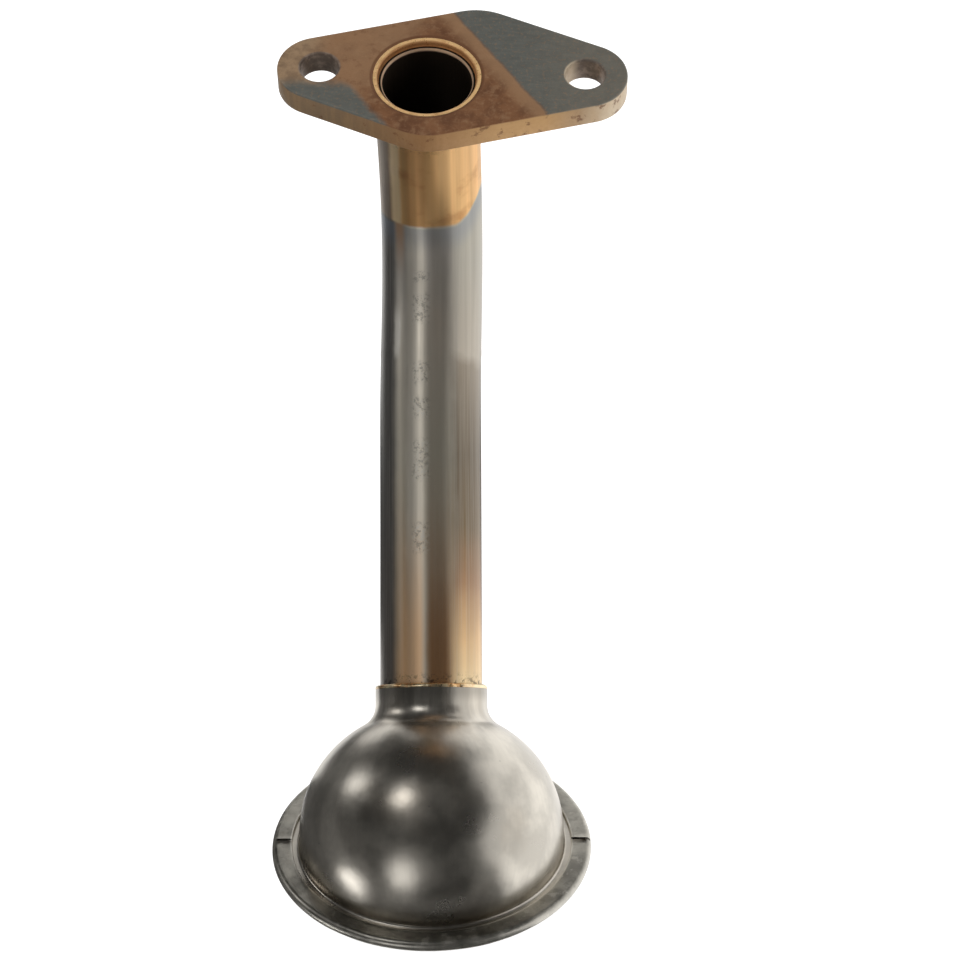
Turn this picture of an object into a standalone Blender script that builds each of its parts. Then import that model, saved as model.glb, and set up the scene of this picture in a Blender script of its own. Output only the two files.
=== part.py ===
"""Oil pickup tube: a two-bolt flange, a bent steel tube brazed into it, and a drawn inlet bell
whose rim is hemmed over a flat strainer screen.

Frame: the origin is the centre of the tube's bore in the plane of the flange's gasket face.
+Z points out of the gasket face and +X runs along the bolt line toward the farther bolt.
The tube leaves the flange downward and bends toward -Y.
"""
import bpy
import bmesh
from math import acos, asin, atan2, cos, pi, radians, sin, sqrt
from mathutils import Vector

MM = 0.001

# Flange plate
FLANGE_THICKNESS = 4.8 * MM
BOLT_SPACING = 47.8 * MM
BOLT_HOLE = 7.1 * MM
BORE_TO_NEAR_BOLT = 19.45 * MM
BORE_OFF_BOLT_LINE = 1.6 * MM
LOBE_WALL = 4.1 * MM
CORNER_REACH = 15.7 * MM
CORNER_SKEW = 4.0 * MM
CORNER_RADIUS = 11.0 * MM
EDGE_BREAK = 0.35 * MM

# Tube
TUBE_OD = 19.05 * MM
TUBE_WALL = 1.4 * MM
TUBE_RECESS = 1.4 * MM
UPPER_LEG = 17.0 * MM
BEND_RADIUS = 36.0 * MM
BEND_ANGLE = radians(61.0)
LOWER_LEG = 68.0 * MM
TUBE_TURN = radians(2.5)

# Inlet bell
SHEET = 0.65 * MM
DOME_RADIUS = 24.5 * MM
RIM_TILT = radians(23.1)
NECK_REACH = 27.1 * MM
NECK_GRIP = 5.0 * MM
NECK_FILLET = 3.0 * MM
SHOULDER_DROP = 1.3 * MM
SHOULDER_END = radians(80.0)
SKIRT_DEPTH = 2.0 * MM
SKIRT_FILLET = 0.6 * MM

# Hemmed rim and strainer
RIM_WIDTH = 5.1 * MM
HEM_SHEET = 0.5 * MM
HEM_TOP_LIP = 3.7 * MM
HEM_UNDER_LIP = 5.0 * MM
STAKE_LENGTH = 2.4 * MM
STAKE_WIDTH = 0.5 * MM
SCREEN_THICKNESS = 0.4 * MM
SCREEN_PITCH = 4.0 * MM
SCREEN_OPENING = 2.8 * MM

# Braze metal and the gap left between neighbouring pieces
BRAZE_LEG = 1.5 * MM
BRAZE_FILM = 0.15 * MM
BEAD_HEIGHT = 0.9 * MM
SEAT_GAP = 0.25 * MM

# Facets: sides round a full turn, steps along a curve, and rounds of fitting a fillet
BOLT_HOLE_SIDES = 28
TUBE_SIDES = 40
BELL_SIDES = 48
HEM_SIDES = 60
FLANGE_ARC_STEPS = 9
BEND_STEPS = 14
DOME_STEPS = 8
FILLET_STEPS = 4
FIT_ROUNDS = 8
ROLL_STEPS = 8

# Sizes that follow from the ones above
TUBE_RADIUS = TUBE_OD / 2
BORE_RADIUS = TUBE_RADIUS + SEAT_GAP
NECK_RADIUS = BORE_RADIUS + SHEET
HEM_HEIGHT = 2 * HEM_SHEET + 3 * SEAT_GAP + SHEET + SCREEN_THICKNESS
HEM_RADIUS = DOME_RADIUS + RIM_WIDTH
HEM_ROLL_RADIUS = HEM_RADIUS - HEM_HEIGHT / 2
RIM_TOP = -SKIRT_DEPTH
SCREEN_TOP = RIM_TOP - SHEET - SEAT_GAP
LEG_DIRECTION = Vector((0.0, -sin(BEND_ANGLE), -cos(BEND_ANGLE)))
BEND_END = Vector((0.0, -BEND_RADIUS * (1 - cos(BEND_ANGLE)), -UPPER_LEG - BEND_RADIUS * sin(BEND_ANGLE)))
COLLAR = BEND_END + LEG_DIRECTION * LOWER_LEG
DOME_CENTRE = COLLAR + LEG_DIRECTION * NECK_REACH


def clear_scene():
    for old in list(bpy.data.objects):
        bpy.data.objects.remove(old, do_unlink=True)


def metal(name, colour, roughness):
    material = bpy.data.materials.new(name)
    material.use_nodes = True
    shader = material.node_tree.nodes["Principled BSDF"]
    shader.inputs["Base Color"].default_value = (*colour, 1.0)
    shader.inputs["Roughness"].default_value = roughness
    shader.inputs["Metallic"].default_value = 1.0
    return material


def place(name, mesh, material, parent):
    """Make the named object from a bmesh and hang it on its parent."""
    bmesh.ops.recalc_face_normals(mesh, faces=mesh.faces)
    data = bpy.data.meshes.new(name)
    mesh.to_mesh(data)
    mesh.free()
    piece = bpy.data.objects.new(name, data)
    bpy.context.scene.collection.objects.link(piece)
    if material:
        data.materials.append(material)
        data.shade_smooth()
        data.set_sharp_from_angle(angle=radians(35))
    piece.parent = parent
    return piece


def empty(name, location, rotation, parent=None):
    frame = bpy.data.objects.new(name, None)
    bpy.context.scene.collection.objects.link(frame)
    frame.location = location
    frame.rotation_euler = rotation
    frame.parent = parent
    return frame


def loft(rings):
    """Join rings of points into one closed tube-like body: the last ring meets the first."""
    mesh = bmesh.new()
    loops = [[mesh.verts.new(point) for point in ring] for ring in rings]
    for here, there in zip(loops, loops[1:] + loops[:1]):
        for a in range(len(here)):
            b = (a + 1) % len(here)
            mesh.faces.new((here[a], here[b], there[b], there[a]))
    return mesh


def circle(radius, height, sides):
    """Points of a level circle about the Z axis."""
    turns = [2 * pi * i / sides for i in range(sides)]
    return [Vector((radius * cos(t), radius * sin(t), height)) for t in turns]


def revolve(profile, sides):
    """Turn a closed profile of (radius, height) pairs about the Z axis."""
    return loft([circle(radius, height, sides) for radius, height in profile])


def arc(centre_r, centre_z, radius, start, end, steps):
    """Profile points (radius, height) along an arc, both ends included."""
    angles = [start + (end - start) * i / steps for i in range(steps + 1)]
    return [(centre_r + radius * cos(a), centre_z + radius * sin(a)) for a in angles]


def prism(outline, bottom, top):
    """Extrude a flat outline between two heights."""
    mesh = bmesh.new()
    face = mesh.faces.new([mesh.verts.new((x, y, bottom)) for x, y in outline])
    raised = bmesh.ops.extrude_face_region(mesh, geom=[face])
    moved = [v for v in raised["geom"] if isinstance(v, bmesh.types.BMVert)]
    bmesh.ops.translate(mesh, verts=moved, vec=(0.0, 0.0, top - bottom))
    return mesh


def round_outline(x, y, radius, sides):
    turns = [2 * pi * i / sides for i in range(sides)]
    return [(x + radius * cos(t), y + radius * sin(t)) for t in turns]


def box_outline(x, y, width, depth):
    w, d = width / 2, depth / 2
    return [(x - w, y - d), (x + w, y - d), (x + w, y + d), (x - w, y + d)]


def cutter(name, meshes, parent):
    """One hidden tool made of several closed bodies."""
    joined = bmesh.new()
    for mesh in meshes:
        bmesh.ops.recalc_face_normals(mesh, faces=mesh.faces)
        part = bpy.data.meshes.new(name)
        mesh.to_mesh(part)
        mesh.free()
        joined.from_mesh(part)
        bpy.data.meshes.remove(part)
    tool = place(name, joined, None, parent)
    tool.hide_render = True
    tool.display_type = "WIRE"
    return tool


def cut(piece, tool):
    step = piece.modifiers.new("cut", "BOOLEAN")
    step.operation = "DIFFERENCE"
    step.solver = "EXACT"
    step.object = tool


def tangent_turn(first, second):
    """Direction of the outward normal of the line that runs outside two circles."""
    (ax, ay, ar), (bx, by, br) = first, second
    along = atan2(by - ay, bx - ax)
    distance = sqrt((bx - ax) ** 2 + (by - ay) ** 2)
    return along - acos((ar - br) / distance)


def belt_outline(circles, steps):
    """Outline of a belt drawn round circles given anticlockwise as (x, y, radius)."""
    points = []
    count = len(circles)
    for i, (x, y, radius) in enumerate(circles):
        start = tangent_turn(circles[i - 1], circles[i])
        end = tangent_turn(circles[i], circles[(i + 1) % count])
        sweep = (end - start) % (2 * pi)
        for k in range(steps + 1):
            turn = start + sweep * k / steps
            points.append((x + radius * cos(turn), y + radius * sin(turn)))
    return points


def bolt_places():
    """Centres of the near and the far bolt hole."""
    near = (-BORE_TO_NEAR_BOLT, BORE_OFF_BOLT_LINE)
    far = (BOLT_SPACING - BORE_TO_NEAR_BOLT, BORE_OFF_BOLT_LINE)
    return near, far


def make_flange(material):
    near, far = bolt_places()
    middle_x = (near[0] + far[0]) / 2
    lobe = BOLT_HOLE / 2 + LOBE_WALL
    rise = CORNER_REACH - CORNER_RADIUS
    circles = [
        (near[0], near[1], lobe),
        (middle_x - CORNER_SKEW, near[1] - rise, CORNER_RADIUS),
        (far[0], far[1], lobe),
        (middle_x + CORNER_SKEW, far[1] + rise, CORNER_RADIUS),
    ]
    outline = belt_outline(circles, FLANGE_ARC_STEPS)
    flange = place("flange_plate", prism(outline, -FLANGE_THICKNESS, 0.0), material, None)
    low = -2 * FLANGE_THICKNESS
    high = FLANGE_THICKNESS
    holes = [prism(round_outline(0.0, 0.0, BORE_RADIUS, TUBE_SIDES), low, high)]
    for x, y in (near, far):
        holes.append(prism(round_outline(x, y, BOLT_HOLE / 2, BOLT_HOLE_SIDES), low, high))
    cut(flange, cutter("flange_holes", holes, None))
    bevel = flange.modifiers.new("edges", "BEVEL")
    bevel.width = EDGE_BREAK
    bevel.segments = 2
    bevel.limit_method = "ANGLE"
    bevel.angle_limit = radians(40)


def tube_stations():
    """Places along the tube's centre line, each with the turn of its section."""
    stations = [(Vector((0.0, 0.0, -TUBE_RECESS)), 0.0)]
    for i in range(BEND_STEPS + 1):
        turn = BEND_ANGLE * i / BEND_STEPS
        y = -BEND_RADIUS * (1 - cos(turn))
        z = -UPPER_LEG - BEND_RADIUS * sin(turn)
        stations.append((Vector((0.0, y, z)), turn))
    stations.append((COLLAR + LEG_DIRECTION * NECK_GRIP, BEND_ANGLE))
    return stations


def section_ring(centre, turn, radius):
    """A circle square to the centre line, whose section leans by the turn."""
    across = Vector((1.0, 0.0, 0.0))
    side = Vector((0.0, cos(turn), -sin(turn)))
    points = []
    for i in range(TUBE_SIDES):
        t = 2 * pi * i / TUBE_SIDES
        points.append(centre + across * (radius * cos(t)) + side * (radius * sin(t)))
    return points


def make_tube(material, parent):
    stations = tube_stations()
    outside = [section_ring(centre, turn, TUBE_RADIUS) for centre, turn in stations]
    inside = [section_ring(centre, turn, TUBE_RADIUS - TUBE_WALL) for centre, turn in stations]
    place("pickup_tube", loft(outside + inside[::-1]), material, parent)


def shoulder_drop(polar):
    """How far the dome lies inside its ball at an angle from the neck's axis."""
    rise = max(0.0, cos(polar) - cos(SHOULDER_END)) / (1 - cos(SHOULDER_END))
    return SHOULDER_DROP * rise ** 2


def neck_fillet():
    """Centre of the fillet between neck and dome, and its angle from the neck's axis."""
    centre_r = NECK_RADIUS + NECK_FILLET
    leave = 0.0
    for _ in range(FIT_ROUNDS):
        reach = DOME_RADIUS - shoulder_drop(leave) + NECK_FILLET
        leave = asin(centre_r / reach)
    return centre_r, reach * cos(leave), leave


def bell_line(turn, inset):
    """One line down the bell's surface, from the neck's end to the edge of its rim.

    The neck and the dome are round about the neck's axis, and the skirt and the rim are round
    about the dome's own axis. Every line crosses from one to the other at the dome's widest
    circle. The inset is 0 on the outside and the sheet's thickness on the inside.
    """
    lean = BEND_ANGLE - RIM_TILT
    axis = Vector((0.0, sin(lean), cos(lean)))
    side = Vector((0.0, cos(lean), -sin(lean)))
    away = Vector((1.0, 0.0, 0.0)) * cos(turn) + side * sin(turn)
    curl_r, curl_z, leave = neck_fillet()
    line = [axis * NECK_REACH + away * (NECK_RADIUS - inset)]
    for r, z in arc(curl_r, curl_z, NECK_FILLET + inset, pi, 1.5 * pi - leave, FILLET_STEPS):
        line.append(axis * z + away * r)
    widest = atan2(axis.z, -away.z)
    for i in range(1, DOME_STEPS + 1):
        polar = leave + (widest - leave) * i / DOME_STEPS
        ball = DOME_RADIUS - shoulder_drop(polar) - inset
        line.append(axis * (ball * cos(polar)) + away * (ball * sin(polar)))
    heading = atan2(line[-1].y, line[-1].x)
    outward = Vector((cos(heading), sin(heading), 0.0))
    foot_r = DOME_RADIUS + SKIRT_FILLET
    foot_z = RIM_TOP + SKIRT_FILLET
    for r, z in arc(foot_r, foot_z, SKIRT_FILLET + inset, pi, 1.5 * pi, FILLET_STEPS):
        line.append(outward * r + Vector((0.0, 0.0, z)))
    line.append(outward * HEM_ROLL_RADIUS + Vector((0.0, 0.0, RIM_TOP - inset)))
    return line


def make_bell(material, parent):
    turns = [2 * pi * i / BELL_SIDES for i in range(BELL_SIDES)]
    outside = [list(ring) for ring in zip(*[bell_line(turn, 0.0) for turn in turns])]
    inside = [list(ring) for ring in zip(*[bell_line(turn, SHEET) for turn in turns])]
    place("inlet_bell", loft(outside + inside[::-1]), material, parent)


def make_retainer(material, parent):
    """The sheet ring hemmed over the bell's rim, with a stake lanced at each side."""
    top = RIM_TOP + SEAT_GAP + HEM_SHEET
    middle = top - HEM_HEIGHT / 2
    roll = HEM_HEIGHT / 2
    hollow = roll - HEM_SHEET
    top_lip = HEM_RADIUS - HEM_TOP_LIP
    under_lip = HEM_RADIUS - HEM_UNDER_LIP
    profile = [(top_lip, top - HEM_SHEET), (top_lip, top)]
    profile += arc(HEM_ROLL_RADIUS, middle, roll, pi / 2, -pi / 2, ROLL_STEPS)
    profile += [(under_lip, middle - roll), (under_lip, middle - hollow)]
    profile += arc(HEM_ROLL_RADIUS, middle, hollow, -pi / 2, pi / 2, ROLL_STEPS)
    ring = place("screen_retainer", revolve(profile, HEM_SIDES), material, parent)
    stake_r = HEM_ROLL_RADIUS - STAKE_LENGTH / 4
    slits = []
    for side in (-1, 1):
        outline = box_outline(side * stake_r, 0.0, STAKE_LENGTH, STAKE_WIDTH)
        slits.append(prism(outline, RIM_TOP + SEAT_GAP / 2, top + HEM_SHEET))
    cut(ring, cutter("stake_slits", slits, parent))


def screen_openings():
    """Centres of the openings that lie whole inside the retainer's lip."""
    clear = HEM_RADIUS - HEM_UNDER_LIP - SEAT_GAP
    reach = int(clear / SCREEN_PITCH) + 1
    places = []
    for i in range(-reach, reach + 1):
        for j in range(-reach, reach + 1):
            x, y = i * SCREEN_PITCH, j * SCREEN_PITCH
            corner = sqrt((abs(x) + SCREEN_OPENING / 2) ** 2 + (abs(y) + SCREEN_OPENING / 2) ** 2)
            if corner <= clear:
                places.append((x, y))
    return places


def make_screen(material, parent):
    bottom = SCREEN_TOP - SCREEN_THICKNESS
    edge = round_outline(0.0, 0.0, HEM_ROLL_RADIUS, HEM_SIDES)
    screen = place("inlet_screen", prism(edge, bottom, SCREEN_TOP), material, parent)
    low = bottom - SCREEN_THICKNESS
    high = SCREEN_TOP + SCREEN_THICKNESS
    gaps = []
    for x, y in screen_openings():
        gaps.append(prism(box_outline(x, y, SCREEN_OPENING, SCREEN_OPENING), low, high))
    cut(screen, cutter("screen_gaps", gaps, parent))


def make_face_braze(material):
    """Dished ring of braze metal in the bore, on the recessed end of the tube."""
    outer = BORE_RADIUS - SEAT_GAP
    inner = TUBE_RADIUS - TUBE_WALL + SEAT_GAP
    foot = -TUBE_RECESS + SEAT_GAP
    crest = -EDGE_BREAK
    depth = crest - foot - BRAZE_FILM
    profile = [(inner, foot), (outer, foot)]
    for i in range(FILLET_STEPS + 1):
        turn = pi / 2 * i / FILLET_STEPS
        profile.append((inner + (outer - inner) * cos(turn), crest - depth * sin(turn)))
    place("flange_face_braze", revolve(profile, TUBE_SIDES), material, None)


def make_back_braze(material):
    """Concave fillet of braze metal under the flange, round the tube."""
    inner = BORE_RADIUS
    seat = -FLANGE_THICKNESS - SEAT_GAP
    lip = SEAT_GAP
    hollow = arc(inner + lip + BRAZE_LEG, seat - lip - BRAZE_LEG, BRAZE_LEG, pi / 2, pi, FILLET_STEPS)
    profile = [(inner, seat), (inner + lip + BRAZE_LEG, seat)] + hollow
    profile += [(inner, seat - lip - BRAZE_LEG)]
    place("flange_back_braze", revolve(profile, TUBE_SIDES), material, None)


def make_neck_braze(material, parent):
    """Bead of braze metal on the end of the bell's neck, round the tube."""
    foot = SEAT_GAP
    half = (NECK_RADIUS - BORE_RADIUS) / 2
    profile = [(BORE_RADIUS, foot), (NECK_RADIUS, foot)]
    crown = foot + BEAD_HEIGHT - half
    profile += arc(BORE_RADIUS + half, crown, half, 0.0, pi, FILLET_STEPS)
    place("neck_braze", revolve(profile, TUBE_SIDES), material, parent)


def build():
    clear_scene()
    plate = metal("heat_tinted_plate", (0.34, 0.22, 0.13), 0.42)
    steel = metal("drawn_tube_steel", (0.36, 0.32, 0.26), 0.34)
    shell = metal("satin_pressed_steel", (0.27, 0.26, 0.24), 0.36)
    wire = metal("strainer_steel", (0.45, 0.44, 0.42), 0.4)
    copper = metal("braze_copper", (0.72, 0.45, 0.24), 0.38)
    turn = empty("tube_plane", (0.0, 0.0, 0.0), (0.0, 0.0, TUBE_TURN))
    dome = empty("dome_centre", DOME_CENTRE, (-RIM_TILT, 0.0, 0.0), turn)
    collar = empty("collar_centre", COLLAR, (-BEND_ANGLE, 0.0, 0.0), turn)
    make_flange(plate)
    make_face_braze(copper)
    make_back_braze(copper)
    make_tube(steel, turn)
    make_neck_braze(copper, collar)
    make_bell(shell, dome)
    make_retainer(shell, dome)
    make_screen(wire, dome)


build()
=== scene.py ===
"""Oil pickup tube: a two-bolt flange, a bent steel tube brazed into it, and a drawn inlet bell
whose rim is hemmed over a woven strainer.

Frame: the origin is the centre of the tube's bore in the plane of the flange's upper face.
+Z points out of that face, +X runs toward the farther bolt, and the tube leaves downward
and bends toward -Y. Lengths are in metres.
"""
from math import asin, atan2, cos, hypot, pi, radians, sin, sqrt

import bmesh
import bpy
from bpy.props import FloatProperty, FloatVectorProperty, IntProperty, PointerProperty
from mathutils import Matrix, Vector, noise


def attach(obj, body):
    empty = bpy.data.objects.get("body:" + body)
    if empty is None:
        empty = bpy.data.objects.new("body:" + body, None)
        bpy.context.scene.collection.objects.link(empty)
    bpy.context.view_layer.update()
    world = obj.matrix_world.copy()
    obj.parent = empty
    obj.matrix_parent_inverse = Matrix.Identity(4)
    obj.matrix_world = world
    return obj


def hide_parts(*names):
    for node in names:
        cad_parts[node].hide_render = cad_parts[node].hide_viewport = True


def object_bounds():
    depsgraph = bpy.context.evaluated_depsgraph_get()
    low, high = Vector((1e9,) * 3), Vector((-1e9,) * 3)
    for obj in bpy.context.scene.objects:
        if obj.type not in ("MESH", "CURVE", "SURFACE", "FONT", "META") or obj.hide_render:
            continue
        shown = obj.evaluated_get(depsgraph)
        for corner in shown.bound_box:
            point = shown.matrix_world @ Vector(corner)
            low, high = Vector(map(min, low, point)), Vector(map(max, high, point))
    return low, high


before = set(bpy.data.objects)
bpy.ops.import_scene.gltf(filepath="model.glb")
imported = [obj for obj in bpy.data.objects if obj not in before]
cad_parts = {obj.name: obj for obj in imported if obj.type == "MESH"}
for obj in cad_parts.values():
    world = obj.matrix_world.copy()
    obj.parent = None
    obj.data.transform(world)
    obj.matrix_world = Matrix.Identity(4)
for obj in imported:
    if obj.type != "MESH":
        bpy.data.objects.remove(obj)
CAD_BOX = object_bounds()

bl_info = {
    "name": "Oil Pickup Tube",
    "version": (1, 0, 0),
    "blender": (4, 5, 0),
    "location": "View3D > Sidebar > Pickup",
    "description": "Builds the dressed model of an oil pickup tube around its packed frame",
    "category": "Object",
}

MM = 0.001
# Edges that turn by more than this are square corners to be rounded.
SQUARE = radians(60)
# Lengths of the tube's UV map, as units for a metre.
RUN_SCALE = 5
# Places along the tube, from its flange, of the faults that bending and drawing left.
KINK_PAST_BEND, KINK_WIDTH = 5 * MM, 1.6 * MM
WAVER_FROM, WAVER_TO, WAVER_FADE = 8 * MM, 121 * MM, 10 * MM
SWAY_FROM, SWAY_LENGTH = 6 * MM, 66 * MM


def size(name, description, millimetres):
    """A length that a user may change, given in millimetres."""
    return FloatProperty(
        name=name, description=description, default=millimetres * MM, unit="LENGTH", precision=5
    )


def turn(name, description, degrees):
    return FloatProperty(
        name=name, description=description, default=radians(degrees), subtype="ANGLE"
    )


def count(name, description, default):
    return IntProperty(name=name, description=description, default=default, min=3)


def share(name, description, default):
    return FloatProperty(name=name, description=description, default=default, min=0.0)


def colour(name, description, default):
    return FloatVectorProperty(
        name=name, description=description, default=default, subtype="COLOR", min=0.0, max=1.0
    )


class FlangeSizes(bpy.types.PropertyGroup):
    """The blanked plate that bolts to the pump"""

    thickness: size("Thickness", "Plate thickness", 4.8)
    bolt_spacing: size("Bolt spacing", "Distance between the two bolt holes", 47.8)
    bolt_hole: size("Bolt hole", "Diameter of a bolt hole", 7.1)
    near_bolt: size("Near bolt", "From the bore to the nearer bolt hole", 19.45)
    off_line: size("Off line", "How far the bore lies off the bolt line", 1.6)
    lobe_wall: size("Lobe wall", "Metal round a bolt hole", 4.1)
    corner_reach: size("Corner reach", "From the bolt line to a wide corner's edge", 15.7)
    corner_skew: size("Corner skew", "How far each wide corner is shifted along the bolt line", 4.0)
    corner_radius: size("Corner radius", "Radius of the two wide corners", 11.0)
    bore: size("Bore", "Radius of the hole that takes the tube", 9.775)
    edge: size("Edge round", "Rounding left on the edges by blanking", 0.32)
    band: size("Edge band", "Width of the flat band kept beside each edge", 0.7)
    corner_sides: count("Corner sides", "Facets of a full circle at a corner", 112)
    bore_sides: count("Bore sides", "Facets round the bore", 128)
    hole_sides: count("Hole sides", "Facets round a bolt hole", 72)


class TubeSizes(bpy.types.PropertyGroup):
    """The bent tube"""

    outside: size("Outside", "Outside diameter", 19.05)
    wall: size("Wall", "Wall thickness", 1.4)
    recess: size("Recess", "How far the tube's end lies below the flange's upper face", 1.3)
    upper_leg: size("Upper leg", "Straight length before the bend", 17.0)
    bend_radius: size("Bend radius", "Radius of the bend's centre line", 36.0)
    bend_angle: turn("Bend angle", "Angle of the bend", 61.0)
    lower_leg: size("Lower leg", "Straight length after the bend", 68.5)
    grip: size("Grip", "Length held in the bell's neck", 4.5)
    turn: turn("Turn", "Turn of the tube's plane about the bore", 2.5)
    mouth_round: size("Mouth round", "Rounding of the tube's end", 0.25)
    waver: size("Waver", "Unevenness of the drawn surface", 0.035)
    kink: size("Kink", "Height of the faint ring where the bend ends", 0.05)
    sway: size("Sway", "How far the bend strays sideways from its plane", 0.42)
    sides: count("Sides", "Facets round the tube", 120)


class BellSizes(bpy.types.PropertyGroup):
    """The drawn inlet bell"""

    dome: size("Dome", "Outside radius of the dome", 24.5)
    sheet: size("Sheet", "Sheet thickness", 0.65)
    tilt: turn("Rim tilt", "Lean of the rim's plane", 23.1)
    reach: size("Neck reach", "From the dome's centre to the neck's end", 26.6)
    neck: size("Neck", "Outside radius of the neck", 10.425)
    neck_fillet: size("Neck fillet", "Radius between the neck and the dome", 4.2)
    shoulder: size("Shoulder drop", "How far the dome flattens toward the neck", 1.3)
    shoulder_end: turn("Shoulder end", "Angle from the neck at which the dome is full", 80.0)
    skirt: size("Skirt", "From the dome's widest circle to the rim", 2.0)
    skirt_fillet: size("Skirt fillet", "Radius between the skirt and the rim", 0.6)
    rim_middle: size("Rim middle", "Radius of the ring of edges partway out on the rim", 26.3)
    rim: size("Rim", "Radius that the rim reaches inside the hem", 28.3)
    waver: size("Waver", "Unevenness of the pressed surface", 0.03)
    past_cut: turn("Past the cut", "How far the dome is spun past the plane that cuts it", 6.0)
    snap: size("Snap", "Reach within which the cut takes a corner as its own", 0.15)
    steps: count("Steps", "Rings of facets down the dome", 72)
    sides: count("Sides", "Facets round the bell", 160)


class HemSizes(bpy.types.PropertyGroup):
    """The ring that is folded over the bell's rim"""

    outside: size("Outside", "Outside diameter of the hem", 59.2)
    seat: size("Seat", "Gap between the rim and the lip on top of it", 0.05)
    height: size("Height", "Height of the folded hem", 2.1)
    sheet: size("Sheet", "Sheet thickness", 0.5)
    top_lip: size("Top lip", "Width of the lip on top of the rim", 3.7)
    under_lip: size("Under lip", "Width of the lip below the strainer", 5.0)
    stake_in: size("Stake start", "Radius where a stake's slit begins", 26.5)
    stake_out: size("Stake end", "Radius where a stake's slit ends", 28.8)
    stake_half: size("Stake half width", "Half the width of a stake's slit", 0.28)
    stake_depth: size("Stake depth", "Depth of a stake's slit", 0.5)
    burr: size("Burr", "Height of the raised lip beside a slit", 0.14)
    edge: size("Edge round", "Rounding of the sheet's two edges", 0.14)
    ripple: size("Ripple", "Height of the uneven folding", 0.05)
    sides: count("Sides", "Facets round the hem", 240)


class WeaveSizes(bpy.types.PropertyGroup):
    """The woven strainer"""

    pitch: size("Pitch", "Distance between wires", 2.0)
    wire: size("Wire", "Wire diameter", 0.38)
    rise: size("Rise", "How far a wire rises over the one it crosses", 0.12)
    reach: size("Reach", "Radius that the wires reach inside the hem", 27.6)
    drop: size("Drop", "From the rim's underside to the middle of the wires", 0.36)
    steps: count("Steps", "Rings of a wire between two crossings", 4)
    sides: count("Sides", "Facets round a wire", 8)


class BrazeSizes(bpy.types.PropertyGroup):
    """The copper that joins the pieces"""

    ring_inside: size("Ring inside", "Inner radius of the ring in the bore", 8.72)
    ring_crest: size("Ring crest", "How far the ring stays below the flange's upper face", 0.10)
    ring_roll: size("Ring roll", "Radius of the roll round the outside of the ring", 0.45)
    fillet: size("Fillet", "Leg of the fillet under the flange", 1.75)
    bead: size("Bead", "Height of the bead on the bell's neck", 0.78)
    lump: size("Lump", "Unevenness of the bead", 0.10)
    notch: turn("Notch", "Round the bead from the front to the notch in it", 30.0)
    groove: size("Groove", "Radius inside which the ring is dark", 9.1)
    sunk: size("Sunk", "How far the braze reaches into the metal beside it", 0.02)
    sides: count("Sides", "Facets round a joint", 180)


class Finishes(bpy.types.PropertyGroup):
    """Colours of the bare, heat-tinted steel and of the braze"""

    plate_copper: colour("Plate copper", "Copper flash on the flange", (0.255, 0.112, 0.046))
    plate_deep: colour("Plate deep", "Darker copper in patches", (0.165, 0.066, 0.026))
    plate_pale: colour("Plate pale", "Lighter copper beside the grey zone", (0.390, 0.225, 0.115))
    plate_grey: colour("Plate grey", "Grey oxide on the flange", (0.146, 0.150, 0.132))
    plate_dusk: colour("Plate dusk", "Brown grey near the nearer bolt", (0.270, 0.185, 0.110))
    plate_side: colour("Plate side", "Copper of the blanked edge", (0.340, 0.175, 0.070))
    side_pale: colour("Side pale", "Tan of the blanked edge", (0.560, 0.330, 0.140))
    side_left: colour("Side left", "Darker tan on the left of the edge", (0.240, 0.155, 0.085))
    side_right: colour("Side right", "Duller tan on the right of the edge", (0.440, 0.290, 0.160))
    bore_edge: colour("Bore edge", "Bright copper of the ring in the bore", (1.0, 0.630, 0.290))
    side_end: colour("Side end", "Pale steel round the farther bolt", (0.680, 0.550, 0.390))
    hole_wall: colour("Hole wall", "Scale in the bolt holes", (0.130, 0.100, 0.080))
    tube_gold: colour("Tube gold", "Gold flash below the flange", (0.62, 0.38, 0.17))
    # A painted highlight down the tube's front.
    tube_front_highlight: colour("Tube crest", "Buffed steel along the tube's front", (0.92, 0.85, 0.72))
    # Also painted as a dark reflection down the tube's left flank.
    tube_dark: colour("Tube dark", "Dark scale on the tube", (0.12, 0.115, 0.11))
    tube_blue: colour("Tube blue", "Blue temper colour", (0.20, 0.24, 0.30))
    tube_copper: colour("Tube copper", "Copper flash above the bell", (0.60, 0.33, 0.15))
    # Copper on the lip, brightened as a painted highlight on its rounded edge.
    mouth: colour("Mouth", "Tinned lip of the tube in the bore", (1.0, 0.74, 0.52))
    # Copper flash brightened as a painted highlight, for the streak on the tube's front.
    copper_flash_highlight: colour("Copper crest", "Copper flash on the tube's front", (0.86, 0.52, 0.26))
    # Painted shade down the inside of the tube.
    tube_inside: colour("Tube inside", "Soot inside the tube", (0.035, 0.024, 0.016))
    shell: colour("Shell", "Satin pressed steel of the bell", (0.62, 0.58, 0.51))
    shell_brown: colour("Shell brown", "Brown tinge on the bell", (0.50, 0.41, 0.31))
    hem: colour("Hem", "Pressed steel of the hem", (0.42, 0.40, 0.35))
    # Also used for painted highlights: the glint at the end of the bend and the hem's edges.
    bright: colour("Bright", "Steel rubbed bright on the edges", (0.72, 0.69, 0.62))
    wire: colour("Wire", "Strainer wire", (0.42, 0.41, 0.38))
    braze: colour("Braze", "Braze copper", (0.80, 0.46, 0.20))
    # Paler than the braze, partly as a painted highlight on the bead's rounded surface.
    bead: colour("Bead", "Pale copper of the bead on the neck", (0.92, 0.76, 0.50))
    # Also painted as shade down the gold flash and as a dark reflection near the bell.
    braze_deep: colour("Braze deep", "Darker copper in the hollows", (0.36, 0.15, 0.05))
    # Also painted as shade in the hem's slits.
    soot_and_shade: colour("Soot", "Flux soot", (0.035, 0.028, 0.022))


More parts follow.
